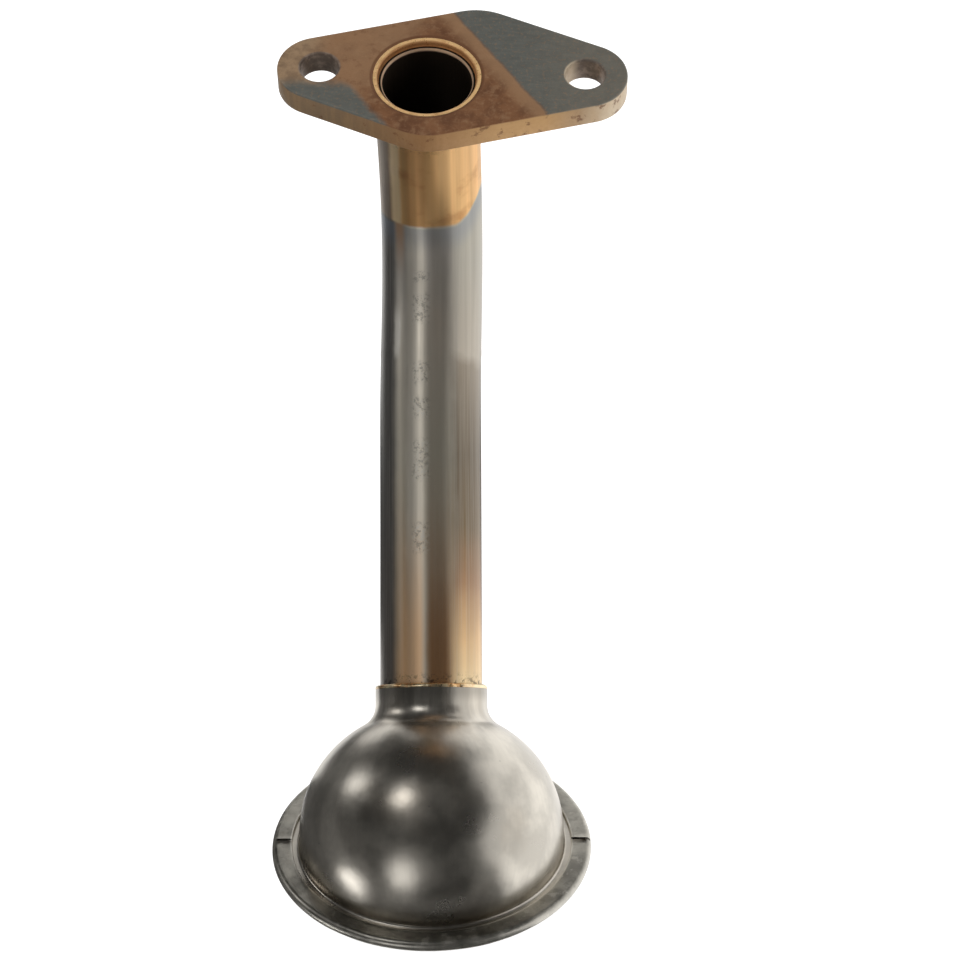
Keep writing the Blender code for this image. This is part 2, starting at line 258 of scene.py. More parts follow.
class StudioSettings(bpy.types.PropertyGroup):
    """Camera, lamps, floor and cards"""

    lens: FloatProperty(name="Lens", description="Focal length", default=101.25, unit="CAMERA")
    elevation: turn("Elevation", "Camera above the plane of the flange", 54.0)
    azimuth: turn("Azimuth", "Camera round from the front", 2.2)
    distance: size("Distance", "From the bore to the camera, along its view", 484.0)
    aside: size("Aside", "Camera's shift to the right of the bore", 9.5)
    below: size("Below", "Camera's shift below the bore", 72.4)
    world: share("World level", "Strength of the room's soft light", 0.9)
    floor_own: share("Floor glow", "White that the floor shows by itself", 0.8)
    floor_reach: size("Floor reach", "Radius of the floor", 2500.0)
    floor_middle: size("Floor middle", "Place of the floor's middle, in front of the bore", -50.0)
    card_shade: share("Card shade", "Grey level of the dark cards", 0.04)


GROUPS = {
    "pickup_flange": FlangeSizes,
    "pickup_tube": TubeSizes,
    "pickup_bell": BellSizes,
    "pickup_hem": HemSizes,
    "pickup_weave": WeaveSizes,
    "pickup_braze": BrazeSizes,
    "pickup_finish": Finishes,
    "pickup_studio": StudioSettings,
}


# Places of the pieces


def tube_plane(tube):
    """Frame of the tube's plane: the part's own frame turned about the bore."""
    return Matrix.Rotation(tube.turn, 4, "Z")


def leg_direction(tube):
    return Vector((0.0, -sin(tube.bend_angle), -cos(tube.bend_angle)))


def bend_end(tube):
    a = tube.bend_angle
    return Vector((0.0, -tube.bend_radius * (1 - cos(a)), -tube.upper_leg - tube.bend_radius * sin(a)))


def collar_frame(tube):
    """Frame at the end of the bell's neck, with +Z up the tube."""
    place = bend_end(tube) + leg_direction(tube) * tube.lower_leg
    return tube_plane(tube) @ Matrix.Translation(place) @ Matrix.Rotation(-tube.bend_angle, 4, "X")


def dome_frame(tube, bell):
    """Frame at the dome's centre, with +Z out of the rim's plane."""
    place = bend_end(tube) + leg_direction(tube) * (tube.lower_leg + bell.reach)
    return tube_plane(tube) @ Matrix.Translation(place) @ Matrix.Rotation(-bell.tilt, 4, "X")


# Shared ways of modelling


class Outline:
    """A line drawn in the XZ plane by straight steps and arcs, and then turned about Z."""

    def __init__(self, x, z):
        self.mesh = bmesh.new()
        self.start = self.mesh.verts.new((x, 0.0, z))
        self.end = self.start

    def line_to(self, x, z):
        step = bmesh.ops.extrude_vert_indiv(self.mesh, verts=[self.end])
        self.end = step["verts"][0]
        self.end.co = (x, 0.0, z)

    def arc(self, x, z, angle, steps):
        """Turn the end about (x, z): a positive angle goes from +Z toward +X."""
        swept = bmesh.ops.spin(
            self.mesh, geom=[self.end], cent=(x, 0.0, z), axis=(0.0, 1.0, 0.0), dvec=(0.0, 0.0, 0.0),
            angle=angle, steps=steps, use_merge=False, use_duplicate=False,
        )
        self.end = [v for v in swept["geom_last"] if isinstance(v, bmesh.types.BMVert)][0]

    def close(self):
        self.mesh.edges.new((self.end, self.start))

    def turned(self, sides):
        line = self.mesh.verts[:] + self.mesh.edges[:]
        bmesh.ops.spin(
            self.mesh, geom=line, cent=(0.0, 0.0, 0.0), axis=(0.0, 0.0, 1.0), dvec=(0.0, 0.0, 0.0),
            angle=2 * pi, steps=sides, use_merge=True, use_duplicate=False,
        )
        bmesh.ops.remove_doubles(self.mesh, verts=self.mesh.verts, dist=1e-7)
        bmesh.ops.recalc_face_normals(self.mesh, faces=self.mesh.faces)
        return self.mesh


def once(items):
    """Each item once, in the order in which it first comes."""
    return list(dict.fromkeys(items))


def new_edges(step):
    return [e for e in step["geom"] if isinstance(e, bmesh.types.BMEdge)]


def new_verts(step):
    return [v for v in step["geom"] if isinstance(v, bmesh.types.BMVert)]


def draw_out(mesh, edges, vector, steps):
    """Extrude an open ring of edges along a vector in equal steps."""
    for _ in range(steps):
        step = bmesh.ops.extrude_edge_only(mesh, edges=edges)
        bmesh.ops.translate(mesh, verts=new_verts(step), vec=vector / steps)
        edges = new_edges(step)
    return edges


def flare(mesh, edges, grow, drop):
    """Extrude an open ring of edges outward by a scale and down by a drop."""
    step = bmesh.ops.extrude_edge_only(mesh, edges=edges)
    bmesh.ops.scale(mesh, verts=new_verts(step), vec=(grow, grow, 1.0))
    bmesh.ops.translate(mesh, verts=new_verts(step), vec=(0.0, 0.0, -drop))
    return new_edges(step)


def soften(mesh, width):
    """Round the square edges of a mesh."""
    edges = [e for e in mesh.edges if len(e.link_faces) == 2 and e.calc_face_angle(0.0) > SQUARE]
    bmesh.ops.bevel(
        mesh, geom=edges, offset=width, offset_type="OFFSET", segments=3, profile=0.5,
        affect="EDGES", clamp_overlap=True, material=-1,
    )


def waver(mesh, amount, scale, seed):
    """Push each point along its normal by smooth noise, so that reflections aren't perfect."""
    mesh.normal_update()
    offset = Vector((seed, seed * 0.7, -seed))
    for vert in mesh.verts:
        vert.co += vert.normal * (amount * noise.noise(vert.co * scale + offset))


def make_piece(name, mesh, material, sharp=40.0):
    """Turn a bmesh into an object at the origin with its material."""
    data = bpy.data.meshes.new(name)
    mesh.to_mesh(data)
    mesh.free()
    data.materials.append(material)
    data.shade_smooth()
    data.set_sharp_from_angle(angle=radians(sharp))
    piece = bpy.data.objects.new(name, data)
    bpy.context.scene.collection.objects.link(piece)
    return piece


def store_places(piece, name, places):
    """Keep one vector for each point, which the material reads."""
    layer = piece.data.attributes.new(name, "FLOAT_VECTOR", "POINT")
    for point, place in zip(layer.data, places):
        point.vector = place


def store_run(piece, name, places):
    """A UV map whose first direction runs along the tube, for the sheen of the marks round it."""
    layer = piece.data.uv_layers.new(name=name)
    for face in piece.data.polygons:
        corners = [places[i] for i in face.vertices]
        angles = [atan2(corner.y, corner.x) for corner in corners]
        radius = hypot(corners[0].x, corners[0].y)
        for loop, corner, angle in zip(face.loop_indices, corners, angles):
            wrapped = (angle - angles[0] + pi) % (2 * pi) - pi
            layer.data[loop].uv = (corner.z * RUN_SCALE, 0.5 + wrapped * radius * RUN_SCALE)


# Materials


class Nodes:
    """Short names for building the nodes of one tree."""

    def __init__(self, tree):
        self.tree = tree

    def put(self, socket, value):
        if isinstance(value, bpy.types.NodeSocket):
            self.tree.links.new(value, socket)
        else:
            socket.default_value = value

    def node(self, kind, inputs=(), **settings):
        made = self.tree.nodes.new(kind)
        for key, value in settings.items():
            setattr(made, key, value)
        for key, value in dict(inputs).items():
            self.put(made.inputs[key], value)
        return made

    def math(self, operation, first, second=0.0, third=0.0):
        inputs = {0: first, 1: second, 2: third}
        return self.node("ShaderNodeMath", inputs, operation=operation).outputs[0]

    def times(self, first, second):
        return self.math("MULTIPLY", first, second)

    def plus(self, first, second):
        return self.math("ADD", first, second)

    def less(self, first, second):
        return self.math("SUBTRACT", first, second)

    def most(self, first, second):
        return self.math("MAXIMUM", first, second)


class Graph(Nodes):
    """The nodes of one material round its main shader."""

    def __init__(self, name, metallic=1.0):
        self.material = bpy.data.materials.new(name)
        self.material.use_nodes = True
        super().__init__(self.material.node_tree)
        self.shader = self.tree.nodes["Principled BSDF"]
        self.shader.inputs["Metallic"].default_value = metallic

    def object_place(self):
        return self.node("ShaderNodeTexCoord").outputs["Object"]

    def kept_place(self, name):
        return self.node("ShaderNodeAttribute", attribute_name=name).outputs["Vector"]

    def moved(self, vector, location=(0, 0, 0), rotation=(0, 0, 0), scale=(1, 1, 1)):
        inputs = {"Vector": vector, "Location": location, "Rotation": rotation, "Scale": scale}
        return self.node("ShaderNodeMapping", inputs).outputs["Vector"]

    def parts(self, vector):
        split = self.node("ShaderNodeSeparateXYZ", {"Vector": vector})
        return split.outputs["X"], split.outputs["Y"], split.outputs["Z"]

    def length(self, x, y):
        joined = self.node("ShaderNodeCombineXYZ", {"X": x, "Y": y}).outputs[0]
        return self.node("ShaderNodeVectorMath", {0: joined}, operation="LENGTH").outputs["Value"]

    def noise(self, vector, scale, detail=3.0, roughness=0.5, distortion=0.0):
        inputs = {
            "Vector": vector, "Scale": scale, "Detail": detail, "Roughness": roughness,
            "Distortion": distortion,
        }
        return self.node("ShaderNodeTexNoise", inputs).outputs["Fac"]

    def streaks(self, vector, scale, detail, roughness):
        """Noise with its own scale along each axis."""
        return self.noise(self.moved(vector, scale=scale), 1.0, detail, roughness)

    def cells(self, vector, scale):
        return self.node("ShaderNodeTexVoronoi", {"Vector": vector, "Scale": scale}).outputs["Distance"]

    def step(self, value, low, high, start=0.0, end=1.0):
        """Smooth step of a value from low to high, mapped to start and end."""
        inputs = {"Value": value, 1: low, 2: high, 3: start, 4: end}
        return self.node("ShaderNodeMapRange", inputs, interpolation_type="SMOOTHSTEP").outputs[0]

    def spread(self, value, low, high):
        """Even rise of a value from 0 at low to 1 at high."""
        return self.node("ShaderNodeMapRange", {"Value": value, 1: low, 2: high}).outputs[0]

    def between(self, value, low, rise_end, fall_start, high):
        """1 inside a band of a value, with soft ends."""
        return self.times(self.step(value, low, rise_end), self.step(value, fall_start, high, 1.0, 0.0))

    def band(self, angle, degrees):
        """1 inside a band of an angle, given as four ends in degrees."""
        return self.between(angle, *(radians(d) for d in degrees))

    def mix(self, share, first, second):
        mixed = self.node("ShaderNodeMix", {0: share}, data_type="RGBA", blend_type="MIX")
        for key, value in ((6, first), (7, second)):
            if isinstance(value, bpy.types.NodeSocket):
                self.put(mixed.inputs[key], value)
            else:
                mixed.inputs[key].default_value = (*value, 1.0)
        return mixed.outputs[2]

    def ramp(self, value, stops):
        """Colours along a value, as (place, colour) stops."""
        made = self.node("ShaderNodeValToRGB", {0: value})
        elements = made.color_ramp.elements
        while len(elements) < len(stops):
            elements.new(0.5)
        for element, (place, tone) in zip(elements, stops):
            element.position = place
            element.color = (*tone, 1.0)
        return made.outputs["Color"]

    def bump(self, height, distance, strength):
        inputs = {"Height": height, "Distance": distance, "Strength": strength}
        return self.node("ShaderNodeBump", inputs).outputs["Normal"]

    def finish(self, base, roughness, normal):
        self.put(self.shader.inputs["Base Color"], base)
        self.put(self.shader.inputs["Roughness"], roughness)
        self.put(self.shader.inputs["Normal"], normal)
        return self.material


def toned(tone, *factors):
    """A colour times one factor, or times one each for red, green and blue, and at most 1."""
    if len(factors) == 1:
        factors *= 3
    return [min(1.0, c * k) for c, k in zip(tone, factors)]


# Lines across the plate as (share of x, share of y, offset): grey scale lies past each.
RIGHT_LINE = (0.8116, 0.5843, 12.7 * MM)
LEFT_LINE = (-0.80, -0.60, 12.6 * MM)
# The stretch of the tube that heat has tinted, and its tints in the middle and on the right side.
TINTED = (30 * MM, 123 * MM)
TUBE_MIDDLE = [
    (0.0, (0.60, 0.55, 0.47)), (0.10, (0.60, 0.56, 0.50)), (0.33, (0.64, 0.59, 0.50)),
    (0.55, (0.62, 0.57, 0.46)), (0.75, (0.62, 0.50, 0.36)), (1.0, (0.62, 0.40, 0.22)),
]
TUBE_RIGHT = [
    (0.0, (0.44, 0.41, 0.34)), (0.12, (0.42, 0.39, 0.33)), (0.335, (0.46, 0.41, 0.34)),
    (0.36, (0.30, 0.255, 0.20)), (0.54, (0.17, 0.135, 0.095)), (0.68, (0.19, 0.14, 0.085)),
    (0.80, (0.36, 0.215, 0.12)), (0.92, (0.70, 0.47, 0.25)), (1.0, (0.84, 0.64, 0.37)),
]
# Bands round the tube in degrees from its right side, as (low, rise end, fall start, high).
# The first band is a painted highlight down the tube's front.
FRONT_HIGHLIGHT = (-122, -113, -99, -90)
# On the gold flash: a band of painted shade, then a band of painted highlight.
GOLD_PAINTED_SHADE = (-121, -113, -97, -90)
GOLD_PAINTED_HIGHLIGHT = (-141, -135, -127, -121)
COPPER_RUN = (-136, -128, -124, -116)
# The glint is a painted highlight.
GLINT = (-137, -132, -128, -124)
# Near the bell: copper flash brightened as a painted highlight, and a painted dark reflection beside
# it.
COPPER_HIGHLIGHT_STREAK = (-128, -117, -102, -94)
DARK_REFLECTION_STREAK = (-96, -88, -74, -64)
PIT_LINE = (-113, -106, -95, -87)
# Where pits and flecks gather along the tube, as (start, end) in millimetres from its flange.
PIT_PATCHES = [(43.5, 46.0), (49.0, 56.0), (63.5, 67.5), (70.0, 74.0), (78.0, 85.5), (93.5, 99.0)]
PIT_FADE = 0.8
# Where the gold flash ends, how far it turns up on the right, and the blue line below it.
GOLD_END = (31.4 * MM, 32.4 * MM)
GOLD_LIFT = 5.8 * MM
BLUE_LINE = (32.0 * MM, 32.8 * MM, 33.5 * MM, 40.0 * MM)
# The slits in the hem, painted dark as shade, as (side, first radius, last radius, lean).
SLITS = ((-1, 26.9 * MM, 28.6 * MM, 0.05), (1, 25.9 * MM, 28.4 * MM, -0.22))


def past_line(g, x, y, line):
    """Distance past a slanting line across the plate."""
    across, back, offset = line
    return g.less(g.math("MULTIPLY_ADD", y, back, g.times(x, across)), offset)


def copper_face(g, finish, x, y, cloud, patchy, fine, wander):
    """Copper flash, paler to the right and in blotches."""
    copper = g.mix(g.step(cloud, 0.36, 0.60), finish.plate_deep, finish.plate_copper)
    rightward = g.math("MULTIPLY_ADD", wander, 1.5, g.math("MULTIPLY_ADD", y, -0.55, x))
    copper = g.mix(g.step(rightward, -0.0125, -0.0045, 0.65, 0.0), copper, finish.plate_pale)
    copper = g.mix(g.step(patchy, 0.50, 0.66, 0.0, 0.40), copper, finish.plate_pale)
    copper = g.mix(g.step(patchy, 0.34, 0.46, 0.35, 0.0), copper, finish.plate_deep)
    return g.mix(g.step(fine, 0.52, 0.66, 0.0, 0.30), copper, finish.plate_pale)


def grey_face(g, finish, x, patchy, fine, brushed):
    """Grey scale with a brushed grain, warmer toward the farther bolt."""
    body = finish.plate_grey
    grey = g.mix(g.step(brushed, 0.38, 0.62), toned(body, 0.95), toned(body, 1.06))
    grey = g.mix(g.step(x, 0.014, 0.030, 0.0, 0.6), grey, toned(body, 1.5, 1.3, 1.15))
    grey = g.mix(g.step(patchy, 0.35, 0.65, 0.30, 0.0), grey, toned(body, 0.7))
    return g.mix(g.step(fine, 0.52, 0.66, 0.0, 0.30), grey, finish.plate_pale)


def blanked_side(g, finish, place, x, patchy):
    """The blanked edge, lighter than the face, with fine marks down its height."""
    marks = g.streaks(place, (900, 900, 110), 4.0, 0.6)
    side = g.ramp(g.spread(x, -0.030, 0.036), [
        (0.0, finish.plate_dusk), (0.23, finish.side_left), (0.45, finish.plate_side),
        (0.66, finish.side_pale), (0.78, finish.side_pale), (0.87, finish.side_right),
        (0.96, finish.side_end),
    ])
    side = g.mix(g.step(marks, 0.44, 0.68, 0.0, 0.16), side, finish.side_pale)
    return g.mix(g.step(patchy, 0.33, 0.43, 0.75, 0.0), side, finish.plate_deep)


def plate_material(finish, flange):
    """Matt oxidised plate: copper flash between two slanting lines, grey scale outside them."""
    g = Graph("flange_copper_and_scale", 0.35)
    place = g.object_place()
    x, y, z = g.parts(place)
    cloud = g.noise(place, 170.0, 5.0, 0.62)
    patchy = g.noise(g.moved(place, location=(0.03, 0.01, 0.0)), 420.0, 4.0, 0.65)
    fine = g.noise(place, 1700.0, 4.0, 0.65)
    grain = g.moved(place, rotation=(0, 0, radians(30)), scale=(260, 1500, 600))
    brushed = g.noise(grain, 1.0, 3.0, 0.6)
    wander = g.math("MULTIPLY_ADD", cloud, 0.0036, -0.0018)
    past_right = g.plus(past_line(g, x, y, RIGHT_LINE), g.times(wander, 0.35))
    grey_right = g.step(past_right, -0.0004, 0.0006)
    halo = g.between(past_right, -0.0042, -0.0008, -0.0003, 0.0004)
    # The left-hand patch lies in front of the nearer bolt hole, and a brown one round it.
    past_left = g.plus(past_line(g, x, y, LEFT_LINE), wander)
    fore = g.step(g.plus(y, wander), -0.0038, -0.0008, 1.0, 0.0)
    grey_left = g.times(g.step(past_left, -0.0006, 0.0010), fore)
    dusky = g.step(g.plus(x, wander), -0.0225, -0.0165, 0.75, 0.0)
    dusk = g.mix(g.step(patchy, 0.40, 0.60), finish.plate_dusk, toned(finish.plate_dusk, 1.5))
    copper = copper_face(g, finish, x, y, cloud, patchy, fine, wander)
    copper = g.mix(g.times(halo, 0.75), copper, finish.plate_pale)
    grey = grey_face(g, finish, x, patchy, fine, brushed)
    top = g.mix(g.most(grey_right, grey_left), g.mix(dusky, copper, dusk), grey)
    # The bore's broken edge is dark copper round the bright ring of braze.
    top = g.mix(g.step(g.length(x, y), 0.0101, 0.0105, 0.8, 0.0), top, finish.plate_deep)
    edge = g.step(g.plus(z, g.times(wander, 0.06)), -0.00060, -0.00022, 1.0, 0.0)
    base = g.mix(edge, top, blanked_side(g, finish, place, x, patchy))
    # The walls of the bolt holes are dark scale, pale on the left of the farther one.
    for hole_x, hole_y, _ in flange_circles(flange)[::2]:
        from_hole = g.less(x, hole_x)
        out = g.length(from_hole, g.less(y, hole_y))
        wall = g.step(out, flange.bolt_hole / 2 + 0.00005, flange.bolt_hole / 2 + 0.00045, 1.0, 0.0)
        scale = g.mix(g.step(patchy, 0.42, 0.60), finish.hole_wall, toned(finish.hole_wall, 1.9))
        if hole_x > 0:
            scale = g.mix(g.step(from_hole, -0.0030, -0.0008, 0.9, 0.0), scale, finish.side_end)
        base = g.mix(g.times(wall, 0.9), base, scale)
    height = g.plus(g.plus(g.times(fine, 0.5), g.times(brushed, 0.10)), g.times(patchy, 0.8))
    return g.finish(base, g.step(fine, 0.3, 0.7, 0.44, 0.60), g.bump(height, 0.00006, 0.7))


def tube_steel(g, finish, turned, length, bands, draw):
    """Buffed steel that heat has tinted in zones, more on the right than in the middle, with a painted
    highlight down its front and its left flank painted dark as a reflection.
    """
    right = g.step(turned, radians(-74), radians(-56))
    steel = g.mix(right, g.ramp(length, TUBE_MIDDLE), g.ramp(length, TUBE_RIGHT))
    # The left flank is painted dark as a reflection.
    left = g.step(turned, radians(-140), radians(-124), 0.92, 0.0)
    steel = g.mix(left, steel, finish.tube_dark)
    # Painted highlight down the tube's front.
    steel = g.mix(g.times(g.band(turned, FRONT_HIGHLIGHT), 0.8), steel, finish.tube_front_highlight)
    steel = g.mix(g.step(bands, 0.36, 0.60, 0.22, 0.0), steel, finish.tube_dark)
    return g.mix(g.step(draw, 0.44, 0.64, 0.0, 0.12), steel, finish.bright)


def tube_gold(g, finish, turned, cloud, bands):
    """Gold flash with a band of painted shade down its front and a band of painted highlight on its
    left.
    """
    gold = g.mix(g.step(bands, 0.35, 0.65), finish.tube_gold, toned(finish.tube_gold, 1.4))
    gold = g.mix(g.step(cloud, 0.52, 0.70, 0.0, 0.5), gold, finish.braze_deep)
    # Painted shade down the gold flash's front.
    gold = g.mix(g.times(g.band(turned, GOLD_PAINTED_SHADE), 0.40), gold, finish.braze_deep)
    # Painted highlight down the gold flash's left.
    return g.mix(g.times(g.band(turned, GOLD_PAINTED_HIGHLIGHT), 0.7), gold, finish.bead)


def pit_zone(g, turned, along):
    """1 in the patches of pits, which lie along one line of the tube."""
    patch = 0.0
    for first, last in PIT_PATCHES:
        ends = (first - PIT_FADE, first + PIT_FADE, last - PIT_FADE, last + PIT_FADE)
        patch = g.most(g.between(along, *(end * MM for end in ends)), patch)
    return g.times(g.band(turned, PIT_LINE), patch)


def tube_material(finish, tube):
    """Drawn and buffed steel: gold flash below the flange, copper flash above the bell."""
    g = Graph("drawn_tube_steel", 0.88)
    g.shader.inputs["Anisotropic"].default_value = 0.72
    along_tube = g.node("ShaderNodeTangent", direction_type="UV_MAP", uv_map="tube_run")
    g.put(g.shader.inputs["Tangent"], along_tube.outputs[0])
    place = g.kept_place("straightened")
    x, side, along = g.parts(place)
    radius = g.length(x, side)
    around = g.math("ARCTAN2", side, x)
    draw = g.streaks(place, (2600, 2600, 30), 4.0, 0.6)
    bands = g.streaks(place, (420, 420, 8), 2.0, 0.5)
    cloud = g.noise(place, 110.0, 4.0, 0.55)
    fine = g.noise(place, 2200.0, 3.0, 0.6)
    wander = g.math("MULTIPLY_ADD", cloud, 0.006, -0.003)
    drifted = g.plus(along, wander)
    turned = g.plus(around, g.times(wander, 20.0))
    steel = tube_steel(g, finish, turned, g.spread(drifted, *TINTED), bands, draw)
    # The edge of the gold flash is nearly square to the tube and turns up on the right.
    lift = g.step(around, radians(-62), radians(-10), 0.0, GOLD_LIFT)
    reach = g.plus(g.plus(along, lift), g.times(wander, 0.35))
    base = g.mix(g.times(g.between(reach, *BLUE_LINE), 0.40), steel, finish.tube_blue)
    run = g.times(g.band(turned, COPPER_RUN), g.step(along, 0.030, 0.047, 0.7, 0.0))
    base = g.mix(run, base, finish.tube_copper)
    # The gold flash thins out on the left flank, where the steel is painted dark as a reflection.
    flank = g.step(turned, radians(-142), radians(-133), 0.18, 1.0)
    gold_share = g.times(g.step(reach, *GOLD_END, 1.0, 0.0), flank)
    base = g.mix(gold_share, base, tube_gold(g, finish, turned, cloud, bands))
    # A painted highlight at the end of the bend, on the left.
    glint = g.times(g.band(turned, GLINT), g.between(along, 0.0500, 0.0560, 0.0610, 0.0630))
    base = g.mix(g.times(glint, 0.85), base, finish.bright)
    # A streak of copper flash, brightened as a painted highlight, climbs the left of the middle, and a
    # painted dark reflection lies beside it.
    flash = g.step(drifted, 0.088, 0.118)
    for streak, depth, tone in (
        (COPPER_HIGHLIGHT_STREAK, 0.75, finish.copper_flash_highlight), (DARK_REFLECTION_STREAK, 0.6, finish.braze_deep)
    ):
        base = g.mix(g.times(g.times(flash, g.band(around, streak)), depth), base, tone)
    # Soot near both joints.
    near_joint = g.most(g.step(along, 0.1205, 0.1232), g.step(along, 0.0120, 0.0060))
    specks = g.step(g.noise(place, 900.0, 3.0, 0.7), 0.50, 0.60)
    base = g.mix(g.times(g.times(near_joint, specks), 0.7), base, finish.soot_and_shade)
    flecks = g.noise(g.moved(place, rotation=(0.5, 0.3, 0.8)), 1300.0, 3.0, 0.7)
    pitted = pit_zone(g, turned, along)
    pit = g.times(pitted, g.step(flecks, 0.34, 0.52, 1.0, 0.0))
    base = g.mix(g.times(pit, 0.45), base, finish.tube_dark)
    base = g.mix(g.times(g.times(pitted, g.step(flecks, 0.50, 0.64)), 0.60), base, finish.bright)
    # The bore and the tube's end are painted near black as shade, and the lip at the flange is copper,
    # brightened as a painted highlight on its rounded edge.
    inside = g.step(radius, 0.00816, 0.00845, 1.0, 0.0)
    mouth = g.step(along, tube.recess + 0.0003, tube.recess + 0.0007, 1.0, 0.0)
    base = g.mix(g.most(inside, mouth), base, finish.tube_inside)
    base = g.mix(g.times(mouth, g.step(radius, 0.00828, 0.00845, 1.0, 0.0)), base, finish.mouth)
    rough = g.plus(g.step(draw, 0.3, 0.7, 0.40, 0.50), g.times(inside, 0.3))
    height = g.less(g.plus(g.times(draw, 0.3), g.times(fine, 0.12)), g.times(pit, 0.6))
    return g.finish(base, rough, g.bump(height, 0.00004, 0.7))


def shell_material(finish):
    """Satin pressed steel with draw marks down the wall and a few nicks."""
    g = Graph("satin_pressed_steel")
    place = g.kept_place("pressed")
    _, _, down = g.parts(place)
    body = finish.shell
    draw = g.streaks(place, (1500, 1500, 45), 3.0, 0.55)
    cloud = g.noise(place, 95.0, 4.0, 0.55)
    fine = g.noise(place, 2600.0, 3.0, 0.6)
    base = g.mix(g.step(cloud, 0.38, 0.66), toned(body, 0.78), toned(body, 1.15))
    brown = g.step(g.noise(place, 60.0, 3.0, 0.5), 0.50, 0.66)
    base = g.mix(g.times(brown, 0.22), base, finish.shell_brown)
    base = g.mix(g.step(draw, 0.42, 0.66, 0.0, 0.07), base, toned(body, 0.6))
    nicks = g.step(g.cells(g.moved(place, scale=(1, 1, 1.7)), 150.0), 0.030, 0.060, 1.0, 0.0)
    base = g.mix(g.times(nicks, 0.18), base, finish.soot_and_shade)
    base = g.mix(g.step(down, 0.0093, 0.0102, 0.30, 0.0), base, finish.soot_and_shade)
    ripple = g.noise(place, 330.0, 2.0, 0.5)
    height = g.plus(g.plus(g.times(draw, 0.12), g.times(fine, 0.22)), g.times(ripple, 1.6))
    return g.finish(base, g.step(cloud, 0.3, 0.7, 0.27, 0.35), g.bump(height, 0.00003, 0.7))


def hem_material(finish, hem):
    """Folded sheet with rubbed patches, a painted highlight round its inner edge and one along its
    outer roll, broken up by the rub noise.
    """
    g = Graph("hem_sheet_steel")
    place = g.kept_place("rim_place")
    x, y, z = g.parts(place)
    radius = g.length(x, y)
    cloud = g.noise(place, 130.0, 4.0, 0.6)
    rub = g.noise(place, 420.0, 4.0, 0.6)
    fine = g.noise(place, 2200.0, 3.0, 0.6)
    base = g.mix(g.step(cloud, 0.36, 0.66), toned(finish.hem, 0.6), toned(finish.hem, 1.12))
    base = g.mix(g.times(g.step(rub, 0.55, 0.68), 0.5), base, finish.bright)
    base = g.mix(g.times(g.step(rub, 0.32, 0.42, 1.0, 0.0), 0.25), base, finish.soot_and_shade)
    half, lip = hem.outside / 2, hem.outside / 2 - hem.top_lip
    # A painted highlight round the lip's inner edge.
    inner = g.step(radius, lip + 0.00012, lip + 0.00045, 1.0, 0.0)
    base = g.mix(g.times(inner, 0.85), base, finish.bright)
    # A painted highlight along the outer roll, where the rub noise is high.
    base = g.mix(g.times(g.step(radius, half - 0.0007, half - 0.0001), rub), base, finish.bright)
    # On top, the lanced stakes are painted dark as shade, as though open to the inside of the fold.
    on_top = g.step(z, -0.0032, -0.0028)
    for sign, first, last, lean in SLITS:
        outward = g.times(x, sign)
        middle = g.times(g.less(outward, (first + last) / 2), lean)
        off = g.math("ABSOLUTE", g.less(y, middle))
        slit = g.step(off, hem.stake_half * 0.55, hem.stake_half * 1.1, 1.0, 0.0)
        length = g.between(outward, first - 0.0002, first, last, last + 0.0002)
        slit = g.times(g.times(slit, on_top), length)
        base = g.mix(g.times(slit, 0.95), base, finish.soot_and_shade)
    return g.finish(base, g.step(rub, 0.3, 0.7, 0.30, 0.46), g.bump(g.plus(fine, rub), 0.00003, 0.6))


def wire_material(finish):
    g = Graph("strainer_wire")
    place = g.object_place()
    cloud = g.noise(place, 240.0, 3.0, 0.6)
    fine = g.noise(place, 4000.0, 2.0, 0.6)
    base = g.mix(g.step(cloud, 0.35, 0.65), toned(finish.wire, 0.55), toned(finish.wire, 1.2))
    return g.finish(base, g.step(fine, 0.3, 0.7, 0.3, 0.45), g.bump(fine, 0.00002, 0.6))


def braze_material(name, copper, deep, finish, metallic=1.0, groove=0.0):
    """Copper that ran and froze: bright crests, dark flux in the hollows, and darker copper inside a
    groove.
    """
    g = Graph(name, metallic)
    place = g.object_place()
    cloud = g.noise(place, 330.0, 4.0, 0.6, 0.4)
    fine = g.noise(place, 2400.0, 3.0, 0.6)
    base = g.mix(g.step(cloud, 0.34, 0.56), deep, copper)
    base = g.mix(g.times(g.step(fine, 0.55, 0.66), 0.5), base, toned(copper, 1.25))
    base = g.mix(g.times(g.step(cloud, 0.31, 0.37, 1.0, 0.0), 0.5), base, finish.soot_and_shade)
    if groove > 0:
        x, y, _ = g.parts(place)
        in_groove = g.step(g.length(x, y), groove - 0.0002, groove + 0.0002, 0.9, 0.0)
        base = g.mix(in_groove, base, finish.braze_deep)
    return g.finish(base, g.step(fine, 0.3, 0.7, 0.26, 0.42), g.bump(g.plus(fine, cloud), 0.00008, 0.8))


# Meshes


def flange_circles(flange):
    """The four circles that the flange's outline is drawn round, as (x, y, radius)."""
    near_x = -flange.near_bolt
    far_x = flange.bolt_spacing - flange.near_bolt
    middle = (near_x + far_x) / 2
    lobe = flange.bolt_hole / 2 + flange.lobe_wall
    rise = flange.corner_reach - flange.corner_radius
    return [
        (near_x, flange.off_line, lobe),
        (middle - flange.corner_skew, flange.off_line - rise, flange.corner_radius),
        (far_x, flange.off_line, lobe),
        (middle + flange.corner_skew, flange.off_line + rise, flange.corner_radius),
    ]


